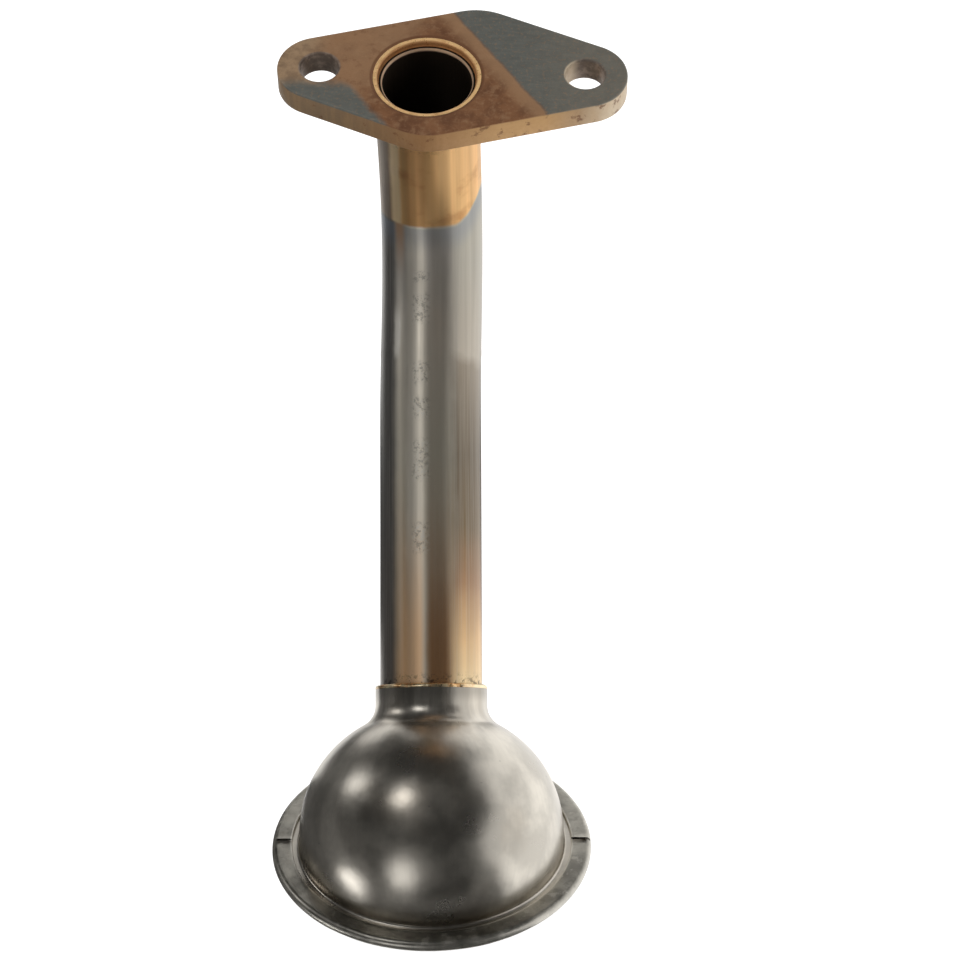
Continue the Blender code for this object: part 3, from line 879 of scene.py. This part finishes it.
def flange_mesh(flange):
    """Blank the plate: outline, holes, thickness and rounded edges."""
    mesh = bmesh.new()
    circles = flange_circles(flange)
    for x, y, radius in circles:
        for z in (0.0, -flange.thickness):
            bmesh.ops.create_circle(
                mesh, segments=flange.corner_sides, radius=radius, matrix=Matrix.Translation((x, y, z))
            )
    hull = bmesh.ops.convex_hull(mesh, input=mesh.verts[:])
    inner = hull["geom_interior"] + hull["geom_unused"]
    spare = once(v for v in inner if isinstance(v, bmesh.types.BMVert))
    bmesh.ops.delete(mesh, geom=spare, context="VERTS")
    bmesh.ops.dissolve_limit(mesh, angle_limit=radians(0.5), verts=mesh.verts[:], edges=mesh.edges[:])
    bmesh.ops.delete(mesh, geom=mesh.faces[:], context="FACES_ONLY")
    low = [v for v in mesh.verts if v.co.z < -flange.thickness / 2]
    bmesh.ops.delete(mesh, geom=low, context="VERTS")
    holes = [(0.0, 0.0, flange.bore, flange.bore_sides)]
    holes += [(x, y, flange.bolt_hole / 2, flange.hole_sides) for x, y, _ in circles[::2]]
    for x, y, radius, sides in holes:
        place = Matrix.Translation((x, y, 0.0))
        bmesh.ops.create_circle(mesh, segments=sides, radius=radius, matrix=place)
    bmesh.ops.triangle_fill(mesh, use_beauty=True, edges=mesh.edges[:], normal=(0.0, 0.0, 1.0))
    bmesh.ops.inset_region(
        mesh, faces=mesh.faces[:], use_boundary=True, use_even_offset=True, thickness=flange.band
    )
    lowered = bmesh.ops.extrude_face_region(mesh, geom=mesh.faces[:])
    bmesh.ops.translate(mesh, verts=new_verts(lowered), vec=(0.0, 0.0, -flange.thickness))
    bmesh.ops.recalc_face_normals(mesh, faces=mesh.faces)
    soften(mesh, flange.edge)
    return mesh


def straightened(point, tube):
    """Place of a point on the tube as if the tube were straight: across, side and length."""
    if point.z >= -tube.upper_leg:
        return Vector((point.x, point.y, -point.z))
    out = point.y + tube.bend_radius
    down = -(point.z + tube.upper_leg)
    angle = atan2(down, out)
    if angle <= tube.bend_angle:
        side = hypot(out, down) - tube.bend_radius
        return Vector((point.x, side, tube.upper_leg + tube.bend_radius * angle))
    rest = point - bend_end(tube)
    side = Vector((0.0, cos(tube.bend_angle), -sin(tube.bend_angle)))
    along = tube.upper_leg + tube.bend_radius * tube.bend_angle + rest.dot(leg_direction(tube))
    return Vector((point.x, rest.dot(side), along))


def tube_mesh(tube):
    """Draw the tube down, spin it round the bend and draw it on, then leave its small faults."""
    mesh = bmesh.new()
    mouth = Matrix.Translation((0, 0, -tube.recess))
    bmesh.ops.create_circle(mesh, segments=tube.sides, radius=tube.outside / 2, matrix=mouth)
    down = Vector((0.0, 0.0, tube.recess - tube.upper_leg))
    edges = draw_out(mesh, mesh.edges[:], down, 16)
    ring = edges + once(v for e in edges for v in e.verts)
    bend = bmesh.ops.spin(
        mesh, geom=ring, cent=(0.0, -tube.bend_radius, -tube.upper_leg), axis=(1.0, 0.0, 0.0),
        dvec=(0.0, 0.0, 0.0), angle=-tube.bend_angle, steps=56, use_merge=False, use_duplicate=False,
    )
    edges = [e for e in bend["geom_last"] if isinstance(e, bmesh.types.BMEdge)]
    draw_out(mesh, edges, leg_direction(tube) * (tube.lower_leg + tube.grip), 72)
    bmesh.ops.recalc_face_normals(mesh, faces=mesh.faces)
    mesh.normal_update()
    kink_at = tube.upper_leg + tube.bend_radius * tube.bend_angle + KINK_PAST_BEND
    for vert in mesh.verts:
        place = straightened(vert.co, tube)
        dip = noise.noise(Vector((place.x * 110, place.y * 110, place.z * 32)))
        fold = max(0.0, 1 - abs(place.z - kink_at) / KINK_WIDTH)
        from_end = min(place.z - WAVER_FROM, WAVER_TO - place.z)
        free = min(1.0, max(0.0, from_end / WAVER_FADE))
        vert.co += vert.normal * (free * (tube.waver * dip + tube.kink * fold * fold))
        swing = min(1.0, max(0.0, (place.z - SWAY_FROM) / SWAY_LENGTH))
        vert.co.x += tube.sway * sin(pi * swing) ** 2
    return mesh


def tube_walls(mesh, tube):
    """Give the tube its wall and round the ends."""
    bmesh.ops.solidify(mesh, geom=mesh.faces[:], thickness=tube.wall)
    soften(mesh, tube.mouth_round)


def neck_lean(tube, bell):
    """Angle between the neck's axis and the rim's."""
    return tube.bend_angle - bell.tilt


def dome_reach(bell, polar):
    """Outside radius of the dome at an angle from the neck's axis."""
    rise = max(0.0, cos(polar) - cos(bell.shoulder_end)) / (1 - cos(bell.shoulder_end))
    return bell.dome - bell.shoulder * rise ** 2


def neck_fillet(bell):
    """Centre of the fillet between neck and dome, and its angle from the neck's axis."""
    centre = bell.neck + bell.neck_fillet
    leave = 0.0
    for _ in range(8):
        reach = dome_reach(bell, leave) + bell.neck_fillet
        leave = asin(centre / reach)
    return centre, reach * cos(leave), leave


def bell_mesh(tube, bell):
    """Spin the neck and dome about the neck, cut at the widest circle, draw the skirt and rim."""
    curl, curl_height, leave = neck_fillet(bell)
    lean = neck_lean(tube, bell)
    outline = Outline(bell.neck, bell.reach)
    outline.line_to(bell.neck, (bell.reach * 2 + curl_height) / 3)
    outline.line_to(bell.neck, (bell.reach + curl_height * 2) / 3)
    outline.line_to(bell.neck, curl_height)
    outline.arc(curl, curl_height, -(pi / 2 - leave), 12)
    sweep = pi / 2 + lean - leave + bell.past_cut
    for k in range(1, bell.steps + 1):
        polar = leave + sweep * k / bell.steps
        reach = dome_reach(bell, polar)
        outline.line_to(reach * sin(polar), reach * cos(polar))
    mesh = outline.turned(bell.sides)
    turned = Matrix.Rotation(-lean, 3, "X")
    bmesh.ops.rotate(mesh, verts=mesh.verts, cent=(0, 0, 0), matrix=turned)
    everything = mesh.verts[:] + mesh.edges[:] + mesh.faces[:]
    bmesh.ops.bisect_plane(
        mesh, geom=everything, dist=bell.snap, use_snap_center=True,
        plane_co=(0, 0, 0), plane_no=(0, 0, 1), clear_inner=True,
    )
    rim = [e for e in mesh.edges if e.is_boundary and e.verts[0].co.z < 1 * MM]
    for vert in once(v for e in rim for v in e.verts):
        vert.co.z = 0.0
        vert.co *= bell.dome / hypot(vert.co.x, vert.co.y)
    foot = bell.skirt - bell.skirt_fillet
    edges = flare(mesh, rim, 1.0, foot / 2)
    edges = flare(mesh, edges, 1.0, foot / 2)
    radius, drop = bell.dome, foot
    for k in range(1, 7):
        a = pi / 2 * k / 6
        next_radius = bell.dome + bell.skirt_fillet * (1 - cos(a))
        next_drop = foot + bell.skirt_fillet * sin(a)
        edges = flare(mesh, edges, next_radius / radius, next_drop - drop)
        radius, drop = next_radius, next_drop
    for next_radius in (bell.rim_middle, bell.rim):
        edges = flare(mesh, edges, next_radius / radius, 0.0)
        radius = next_radius
    bmesh.ops.recalc_face_normals(mesh, faces=mesh.faces)
    return mesh


def hem_mesh(bell, hem):
    """Fold the sheet over the rim, with a stake lanced at each side."""
    top = -bell.skirt + hem.seat + hem.sheet
    roll = hem.height / 2
    middle = top - roll
    centre = hem.outside / 2 - roll
    lip = hem.outside / 2 - hem.top_lip
    under = hem.outside / 2 - hem.under_lip
    outline = Outline(lip, top - hem.sheet)
    outline.line_to(lip, top)
    outline.line_to((lip * 2 + centre) / 3, top)
    outline.line_to((lip + centre * 2) / 3, top)
    outline.line_to(centre, top)
    outline.arc(centre, middle, pi, 16)
    outline.line_to(under, middle - roll)
    outline.line_to(under, middle - roll + hem.sheet)
    outline.line_to(centre, middle - roll + hem.sheet)
    outline.arc(centre, middle, -pi, 10)
    outline.close()
    mesh = outline.turned(hem.sides)
    soften(mesh, hem.edge)
    lance_stakes(mesh, hem, top)
    for vert in mesh.verts:
        near_lip = max(0.0, 1 - (hypot(vert.co.x, vert.co.y) - lip) / (1.2 * MM))
        ripple = noise.noise(vert.co * 210.0) + 0.5 * noise.noise(vert.co * 620.0)
        vert.co.z += hem.ripple * ripple
        if near_lip > 0 and vert.co.z > middle:
            grow = 1 + 0.0035 * ripple * near_lip
            vert.co.x *= grow
            vert.co.y *= grow
    return mesh


def stake_faces(mesh, hem, top, side):
    """The hem's top on one side, where a stake is lanced, as faces with their edges and points."""
    faces = []
    for face in mesh.faces:
        middle = face.calc_center_median()
        outward = middle.x * side > hem.stake_in - 1 * MM and abs(middle.y) < 1.6 * MM
        if outward and face.normal.z > 0.3 and middle.z > top - 1.2 * MM:
            faces.append(face)
    edges = once(e for f in faces for e in f.edges)
    verts = once(v for f in faces for v in f.verts)
    return verts + edges + faces


def lance_stakes(mesh, hem, top):
    """Press a short slit into the top of the hem at each end of its X diameter."""
    close = 0.01 * MM
    for side in (-1, 1):
        reach = hem.stake_out if side < 0 else hem.outside / 2 - 0.3 * MM
        cuts = [((0, y, 0), (0, 1, 0)) for y in (-hem.stake_half, 0.0, hem.stake_half)]
        for x in (hem.stake_in, (hem.stake_in + reach) / 2, reach - 0.25 * MM):
            cuts.append(((side * x, 0, 0), (1, 0, 0)))
        for place, way in cuts:
            near = stake_faces(mesh, hem, top, side)
            bmesh.ops.bisect_plane(mesh, geom=near, dist=1e-6, plane_co=place, plane_no=way)
        for vert in mesh.verts:
            within = hem.stake_in - close < vert.co.x * side < reach
            if not within or abs(vert.co.y) >= hem.stake_half + close or vert.co.z < top - 1.3 * MM:
                continue
            vert.co.z += -hem.stake_depth if abs(vert.co.y) < close else hem.burr
    mesh.normal_update()


def wire_mesh(weave, off, phase):
    """One wire along X at a distance from the middle, wavy where it crosses the others."""
    reach = sqrt(weave.reach ** 2 - off ** 2)
    rings = max(2, int(2 * reach * weave.steps / weave.pitch))
    mesh = bmesh.new()
    start = Matrix.Translation((-reach, off, 0.0)) @ Matrix.Rotation(pi / 2, 4, "Y")
    bmesh.ops.create_circle(
        mesh, segments=weave.sides, radius=weave.wire / 2, cap_ends=True, matrix=start
    )
    last = draw_out(mesh, mesh.edges[:], Vector((2 * reach, 0.0, 0.0)), rings)
    bmesh.ops.holes_fill(mesh, edges=last, sides=0)
    for vert in mesh.verts:
        vert.co.z += weave.rise * cos(pi * vert.co.x / weave.pitch + phase)
    return mesh


def weave_mesh(weave):
    """Two crossing sets of wires, each rising over one wire and passing under the next."""
    whole = bmesh.new()
    half = int((weave.reach - weave.pitch / 2) / weave.pitch)
    for way in range(2):
        for i in range(-half, half + 1):
            mesh = wire_mesh(weave, i * weave.pitch, pi * (i + way))
            turned = Matrix.Rotation(pi / 2 * way, 3, "Z")
            bmesh.ops.rotate(mesh, verts=mesh.verts, cent=(0, 0, 0), matrix=turned)
            wire = bpy.data.meshes.new("wire")
            mesh.to_mesh(wire)
            mesh.free()
            whole.from_mesh(wire)
            bpy.data.meshes.remove(wire)
    bmesh.ops.recalc_face_normals(whole, faces=whole.faces)
    return whole


def ring_mesh(flange, tube, braze):
    """Ring of braze in the bore, on the tube's end: a groove inside and a roll outside."""
    inner = braze.ring_inside
    outer = flange.bore - braze.sunk
    foot = -tube.recess + braze.sunk
    crest = -braze.ring_crest
    roll = braze.ring_roll
    outline = Outline(outer, foot)
    outline.line_to(inner, foot)
    outline.line_to(inner, foot + 0.12 * MM)
    outline.line_to(inner + 0.18 * MM, foot + 0.16 * MM)
    for k in range(13):
        a = pi * (0.97 - 0.47 * k / 12)
        outline.line_to(outer - roll + roll * cos(a), crest - roll + roll * sin(a))
    outline.line_to(outer, crest)
    outline.close()
    mesh = outline.turned(braze.sides)
    for vert in mesh.verts:
        if vert.co.z > foot + 0.1 * MM:
            vert.co.z += 0.04 * MM * noise.noise(vert.co * 300.0) - 0.02 * MM
    return mesh


def fillet_mesh(flange, tube, braze):
    """Concave fillet of braze under the flange, round the tube."""
    inner = tube.outside / 2 + 0.05 * MM
    seat = -flange.thickness - 0.03 * MM
    leg = braze.fillet
    toe, toe_height = inner + leg + 0.2 * MM, 0.12 * MM
    outline = Outline(inner, seat)
    outline.line_to(toe, seat)
    outline.line_to(toe, seat - toe_height)
    for k in range(1, 9):
        a = pi / 2 * k / 8
        outline.line_to(toe - leg * sin(a), seat - toe_height - leg * (1 - cos(a)))
    outline.line_to(inner, seat - leg - 0.15 * MM)
    outline.close()
    mesh = outline.turned(braze.sides)
    for vert in mesh.verts:
        out = hypot(vert.co.x, vert.co.y) - inner
        if out > 0.02 * MM:
            grow = 1 + 0.035 * noise.noise(vert.co * 260.0) * min(1.0, out / (0.6 * MM))
            vert.co.x *= grow
            vert.co.y *= grow
    return mesh


def bead_mesh(tube, bell, braze):
    """Thin bead of braze between the end of the bell's neck and the tube, in the collar's frame."""
    inner = tube.outside / 2 + 0.03 * MM
    outer = bell.neck - braze.sunk
    width, foot, shoulder = outer - inner, 0.03 * MM, 0.14 * MM
    outline = Outline(inner, foot)
    outline.line_to(outer, foot)
    for k in range(11):
        a = pi / 2 * k / 10
        outline.line_to(inner + width * cos(a) ** 0.8, shoulder + (braze.bead - shoulder) * sin(a))
    outline.close()
    mesh = outline.turned(braze.sides)
    notch_place = Vector((outer * sin(braze.notch), -outer * cos(braze.notch)))
    for vert in mesh.verts:
        if vert.co.z < 0.1 * MM:
            continue
        out = (hypot(vert.co.x, vert.co.y) - inner) / width
        lump = noise.noise(vert.co * 300.0) + 0.35 * noise.noise(vert.co * 900.0)
        notch = max(0.0, 1 - (vert.co.xy - notch_place).length / (1.2 * MM))
        vert.co.z += braze.lump * lump - 0.30 * MM * notch
        grow = 1 + (0.010 * lump - 0.018 * notch) * max(0.0, out)
        vert.co.x *= grow
        vert.co.y *= grow
    return mesh


# Operators


class PICKUP_OT_flange(bpy.types.Operator):
    """Build the flange plate"""

    bl_idname = "pickup.flange"
    bl_label = "Build flange"

    def execute(self, context):
        scene = context.scene
        flange = scene.pickup_flange
        material = plate_material(scene.pickup_finish, flange)
        piece = make_piece("flange_body", flange_mesh(flange), material)
        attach(piece, "root")
        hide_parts("flange_plate")
        return {"FINISHED"}


class PICKUP_OT_tube(bpy.types.Operator):
    """Build the bent tube"""

    bl_idname = "pickup.tube"
    bl_label = "Build tube"

    def execute(self, context):
        scene = context.scene
        tube = scene.pickup_tube
        mesh = tube_mesh(tube)
        tube_walls(mesh, tube)
        places = [straightened(v.co, tube) for v in mesh.verts]
        bmesh.ops.transform(mesh, matrix=tube_plane(tube), verts=mesh.verts)
        piece = make_piece("tube_body", mesh, tube_material(scene.pickup_finish, tube))
        store_places(piece, "straightened", places)
        store_run(piece, "tube_run", places)
        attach(piece, "root")
        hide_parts("pickup_tube")
        return {"FINISHED"}


class PICKUP_OT_bell(bpy.types.Operator):
    """Build the inlet bell"""

    bl_idname = "pickup.bell"
    bl_label = "Build bell"

    def execute(self, context):
        scene = context.scene
        tube, bell = scene.pickup_tube, scene.pickup_bell
        mesh = bell_mesh(tube, bell)
        waver(mesh, bell.waver, 95.0, 3.0)
        bmesh.ops.solidify(mesh, geom=mesh.faces[:], thickness=bell.sheet)
        upright = Matrix.Rotation(neck_lean(tube, bell), 3, "X")
        places = []
        for vert in mesh.verts:
            p = upright @ vert.co
            swing = hypot(p.x, p.y)
            polar = atan2(swing, p.z)
            places.append(Vector((p.x / swing * bell.dome, p.y / swing * bell.dome, polar * bell.dome)))
        bmesh.ops.transform(mesh, matrix=dome_frame(tube, bell), verts=mesh.verts)
        piece = make_piece("bell_shell", mesh, shell_material(scene.pickup_finish))
        store_places(piece, "pressed", places)
        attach(piece, "root")
        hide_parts("inlet_bell")
        return {"FINISHED"}


class PICKUP_OT_hem(bpy.types.Operator):
    """Build the folded ring that holds the strainer"""

    bl_idname = "pickup.hem"
    bl_label = "Build hem"

    def execute(self, context):
        scene = context.scene
        tube, bell, hem = scene.pickup_tube, scene.pickup_bell, scene.pickup_hem
        mesh = hem_mesh(bell, hem)
        places = [v.co.copy() for v in mesh.verts]
        bmesh.ops.transform(mesh, matrix=dome_frame(tube, bell), verts=mesh.verts)
        piece = make_piece("hem_ring", mesh, hem_material(scene.pickup_finish, hem))
        store_places(piece, "rim_place", places)
        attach(piece, "root")
        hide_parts("screen_retainer")
        return {"FINISHED"}


class PICKUP_OT_weave(bpy.types.Operator):
    """Build the woven strainer"""

    bl_idname = "pickup.weave"
    bl_label = "Build strainer"

    def execute(self, context):
        scene = context.scene
        tube, bell, weave = scene.pickup_tube, scene.pickup_bell, scene.pickup_weave
        mesh = weave_mesh(weave)
        drop = bell.skirt + bell.sheet + weave.drop
        seat = dome_frame(tube, bell) @ Matrix.Translation((0.0, 0.0, -drop))
        bmesh.ops.transform(mesh, matrix=seat, verts=mesh.verts)
        piece = make_piece("strainer_weave", mesh, wire_material(scene.pickup_finish))
        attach(piece, "root")
        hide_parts("inlet_screen")
        return {"FINISHED"}


class PICKUP_OT_braze(bpy.types.Operator):
    """Build the three braze joints"""

    bl_idname = "pickup.braze"
    bl_label = "Build braze joints"

    def execute(self, context):
        scene = context.scene
        tube, bell, braze = scene.pickup_tube, scene.pickup_bell, scene.pickup_braze
        finish = scene.pickup_finish
        copper = braze_material("braze_copper", finish.braze, finish.braze_deep, finish)
        # The bead's pale copper is partly a painted highlight.
        pale = braze_material("braze_pale_copper", finish.bead, finish.braze, finish)
        bright = braze_material(
            "braze_bright_copper", finish.bore_edge, finish.braze, finish, 0.45, braze.groove
        )
        ring = make_piece("bore_braze", ring_mesh(scene.pickup_flange, tube, braze), bright)
        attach(ring, "root")
        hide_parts("flange_face_braze")
        fillet = make_piece("back_braze", fillet_mesh(scene.pickup_flange, tube, braze), copper)
        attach(fillet, "root")
        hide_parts("flange_back_braze")
        mesh = bead_mesh(tube, bell, braze)
        bmesh.ops.transform(mesh, matrix=collar_frame(tube), verts=mesh.verts)
        bead = make_piece("neck_bead", mesh, pale)
        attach(bead, "root")
        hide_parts("neck_braze")
        return {"FINISHED"}


# Studio

WHITE = (1.0, 1.0, 1.0, 1.0)


def toward(azimuth, elevation):
    """Unit vector to a place round the object: azimuth 0 is the front and 90 is +X."""
    a, e = radians(azimuth), radians(elevation)
    return Vector((sin(a) * cos(e), -cos(a) * cos(e), sin(e)))


def background_share(n):
    """1 for camera, glossy and transmission rays."""
    rays = n.node("ShaderNodeLightPath").outputs
    seen = n.most(rays["Is Camera Ray"], rays["Is Glossy Ray"])
    return n.most(seen, rays["Is Transmission Ray"])


def make_world(studio):
    """Soft light from all round, which the camera and gloss see as white."""
    world = bpy.data.worlds.new("soft_room")
    world.use_nodes = True
    n = Nodes(world.node_tree)
    room = n.tree.nodes["Background"]
    n.put(room.inputs["Color"], WHITE)
    n.put(room.inputs["Strength"], studio.world)
    shown = n.node("ShaderNodeBackground", {"Color": WHITE})
    inputs = {0: background_share(n), 1: room.outputs[0], 2: shown.outputs[0]}
    mixed = n.node("ShaderNodeMixShader", inputs)
    n.put(n.tree.nodes["World Output"].inputs["Surface"], mixed.outputs[0])
    bpy.context.scene.world = world


def stage_material(name):
    """A material with nothing on it yet but its output: the nodes, the output's socket and itself."""
    material = bpy.data.materials.new(name)
    material.use_nodes = True
    n = Nodes(material.node_tree)
    n.tree.nodes.remove(n.tree.nodes["Principled BSDF"])
    return n, n.tree.nodes["Material Output"].inputs["Surface"], material


def floor_material(studio):
    """White floor that glows for the camera, takes the object's shadow and is clear from below."""
    n, surface, material = stage_material("white_floor")
    matt = n.node("ShaderNodeBsdfDiffuse", {"Color": (0.55, 0.55, 0.55, 1.0)})
    glow = n.node("ShaderNodeEmission", {"Strength": n.times(background_share(n), studio.floor_own)})
    both = n.node("ShaderNodeAddShader", {0: matt.outputs[0], 1: glow.outputs[0]})
    clear = n.node("ShaderNodeBsdfTransparent")
    below = n.node("ShaderNodeNewGeometry").outputs["Backfacing"]
    mixed = n.node("ShaderNodeMixShader", {0: below, 1: both.outputs[0], 2: clear.outputs[0]})
    n.put(surface, mixed.outputs[0])
    return material


def card_material(name, shade):
    n, surface, material = stage_material(name)
    n.put(surface, n.node("ShaderNodeEmission", {"Strength": shade}).outputs[0])
    return material


def swept_card(name, start, end, line, centre, material):
    """A card of the stage: a line of (radius, height) swept between two azimuths about a centre."""
    mesh = bmesh.new()
    verts = []
    for radius, height in line:
        verts.append(mesh.verts.new(centre + toward(start, 0.0) * radius + Vector((0.0, 0.0, height))))
    edge = mesh.edges.new(verts)
    bmesh.ops.spin(
        mesh, geom=[*verts, edge], cent=centre, axis=(0.0, 0.0, 1.0), dvec=(0.0, 0.0, 0.0),
        angle=radians(end - start), steps=48, use_merge=False, use_duplicate=False,
    )
    data = bpy.data.meshes.new(name)
    mesh.to_mesh(data)
    mesh.free()
    data.materials.append(material)
    card = bpy.data.objects.new(name, data)
    bpy.context.scene.collection.objects.link(card)
    for ray in ("camera", "diffuse", "transmission", "volume_scatter", "shadow"):
        setattr(card, "visible_" + ray, False)


# Dark cards that only reflections see, as (name, start and end azimuth, ends as (radius, height)
# about the dome's centre, shade). They leave a wide opening on the right and a low one behind.
CARDS = [
    ("card_wall", -165.0, 57.0, ((0.90, 0.0), (0.90, 1.25)), 1.0),
    ("card_rear", 150.0, 195.0, ((0.90, 0.33), (0.90, 1.25)), 1.0),
    ("card_ceiling", 0.0, 360.0, ((0.001, 1.25), (1.60, 1.25)), 1.0),
    ("card_floor", -125.0, 52.0, ((0.036, -0.0144), (0.90, -0.0144)), 2.2),
    ("card_floor_right", 52.0, 57.0, ((0.10, -0.0144), (0.90, -0.0144)), 2.2),
    ("card_floor_left", -147.0, -125.0, ((0.058, -0.0144), (0.90, -0.0144)), 2.2),
    ("card_floor_behind", -200.0, -147.0, ((0.058, -0.0144), (0.118, -0.0144)), 2.2),
]
# Soft lamps about the dome's centre, as (name, azimuth, elevation, distance, width, height,
# radiance).
LAMPS = [
    ("lamp_overhead_left", -100.2, 67.3, 0.50, 0.13, 0.11, 4.6),
    ("lamp_left", -116.6, 22.3, 0.50, 0.11, 0.14, 3.0),
    ("lamp_front", -22.1, 22.5, 0.50, 0.17, 0.20, 1.9),
    ("lamp_low", -55.0, -6.3, 0.11, 0.040, 0.034, 3.9),
]


class PICKUP_OT_stage(bpy.types.Operator):
    """Set the floor, cards, lamps and camera"""

    bl_idname = "pickup.stage"
    bl_label = "Set the stage"

    def execute(self, context):
        scene = context.scene
        studio = scene.pickup_studio
        make_world(studio)
        lowest = CAD_BOX[0].z
        target = dome_frame(scene.pickup_tube, scene.pickup_bell).translation
        mesh = bmesh.new()
        bmesh.ops.create_circle(
            mesh, cap_ends=True, segments=96, radius=studio.floor_reach,
            matrix=Matrix.Translation((0.0, studio.floor_middle, lowest)),
        )
        data = bpy.data.meshes.new("studio_floor")
        mesh.to_mesh(data)
        mesh.free()
        data.materials.append(floor_material(studio))
        floor = bpy.data.objects.new("studio_floor", data)
        scene.collection.objects.link(floor)
        for name, start, end, line, shade in CARDS:
            swept_card(name, start, end, line, target, card_material(name, studio.card_shade * shade))
        for name, azimuth, elevation, distance, width, height, radiance in LAMPS:
            light = bpy.data.lights.new(name, "AREA")
            light.shape = "ELLIPSE"
            light.size = width
            light.size_y = height
            # The power of an ellipse that shines at this radiance.
            light.energy = radiance * pi * width * height * pi / 4
            lamp = bpy.data.objects.new(name, light)
            scene.collection.objects.link(lamp)
            away = toward(azimuth, elevation)
            lamp.location = target + away * distance
            lamp.rotation_euler = away.to_track_quat("Z", "Y").to_euler()
            lamp.visible_camera = False
        self.set_camera(scene, studio)
        return {"FINISHED"}

    def set_camera(self, scene, studio):
        e, a = studio.elevation, studio.azimuth
        level = Vector((sin(a), -cos(a), 0.0))
        right = Vector((cos(a), sin(a), 0.0))
        up = Vector((0.0, 0.0, 1.0)) * cos(e) - level * sin(e)
        back = level * cos(e) + Vector((0.0, 0.0, 1.0)) * sin(e)
        data = bpy.data.cameras.new("photograph_view")
        data.lens = studio.lens
        data.sensor_width = 36.0
        data.sensor_fit = "HORIZONTAL"
        data.clip_start = 0.01
        data.clip_end = 20.0
        camera = bpy.data.objects.new("photograph_view", data)
        scene.collection.objects.link(camera)
        place = Matrix((right, up, back)).transposed().to_4x4()
        place.translation = right * studio.aside - up * studio.below + back * studio.distance
        camera.matrix_world = place
        scene.camera = camera
        scene.view_settings.view_transform = "Standard"


class PICKUP_PT_panel(bpy.types.Panel):
    """Buttons and sizes of the oil pickup tube"""

    bl_idname = "PICKUP_PT_panel"
    bl_label = "Oil pickup tube"
    bl_space_type = "VIEW_3D"
    bl_region_type = "UI"
    bl_category = "Pickup"

    def draw(self, context):
        for operator in OPERATORS:
            self.layout.operator(operator.bl_idname)
        for name, group in GROUPS.items():
            box = self.layout.box()
            box.label(text=group.__doc__)
            for key in group.__annotations__:
                box.prop(getattr(context.scene, name), key)


OPERATORS = (
    PICKUP_OT_stage,
    PICKUP_OT_flange,
    PICKUP_OT_tube,
    PICKUP_OT_bell,
    PICKUP_OT_hem,
    PICKUP_OT_weave,
    PICKUP_OT_braze,
)


def register():
    for cls in (*GROUPS.values(), *OPERATORS, PICKUP_PT_panel):
        bpy.utils.register_class(cls)
    for name, group in GROUPS.items():
        setattr(bpy.types.Scene, name, PointerProperty(type=group))


def unregister():
    for name in GROUPS:
        delattr(bpy.types.Scene, name)
    for cls in reversed((*GROUPS.values(), *OPERATORS, PICKUP_PT_panel)):
        bpy.utils.unregister_class(cls)


def main():
    register()
    bpy.ops.pickup.stage()
    bpy.ops.pickup.flange()
    bpy.ops.pickup.tube()
    bpy.ops.pickup.bell()
    bpy.ops.pickup.hem()
    bpy.ops.pickup.weave()
    bpy.ops.pickup.braze()


if __name__ == "__main__":
    main()
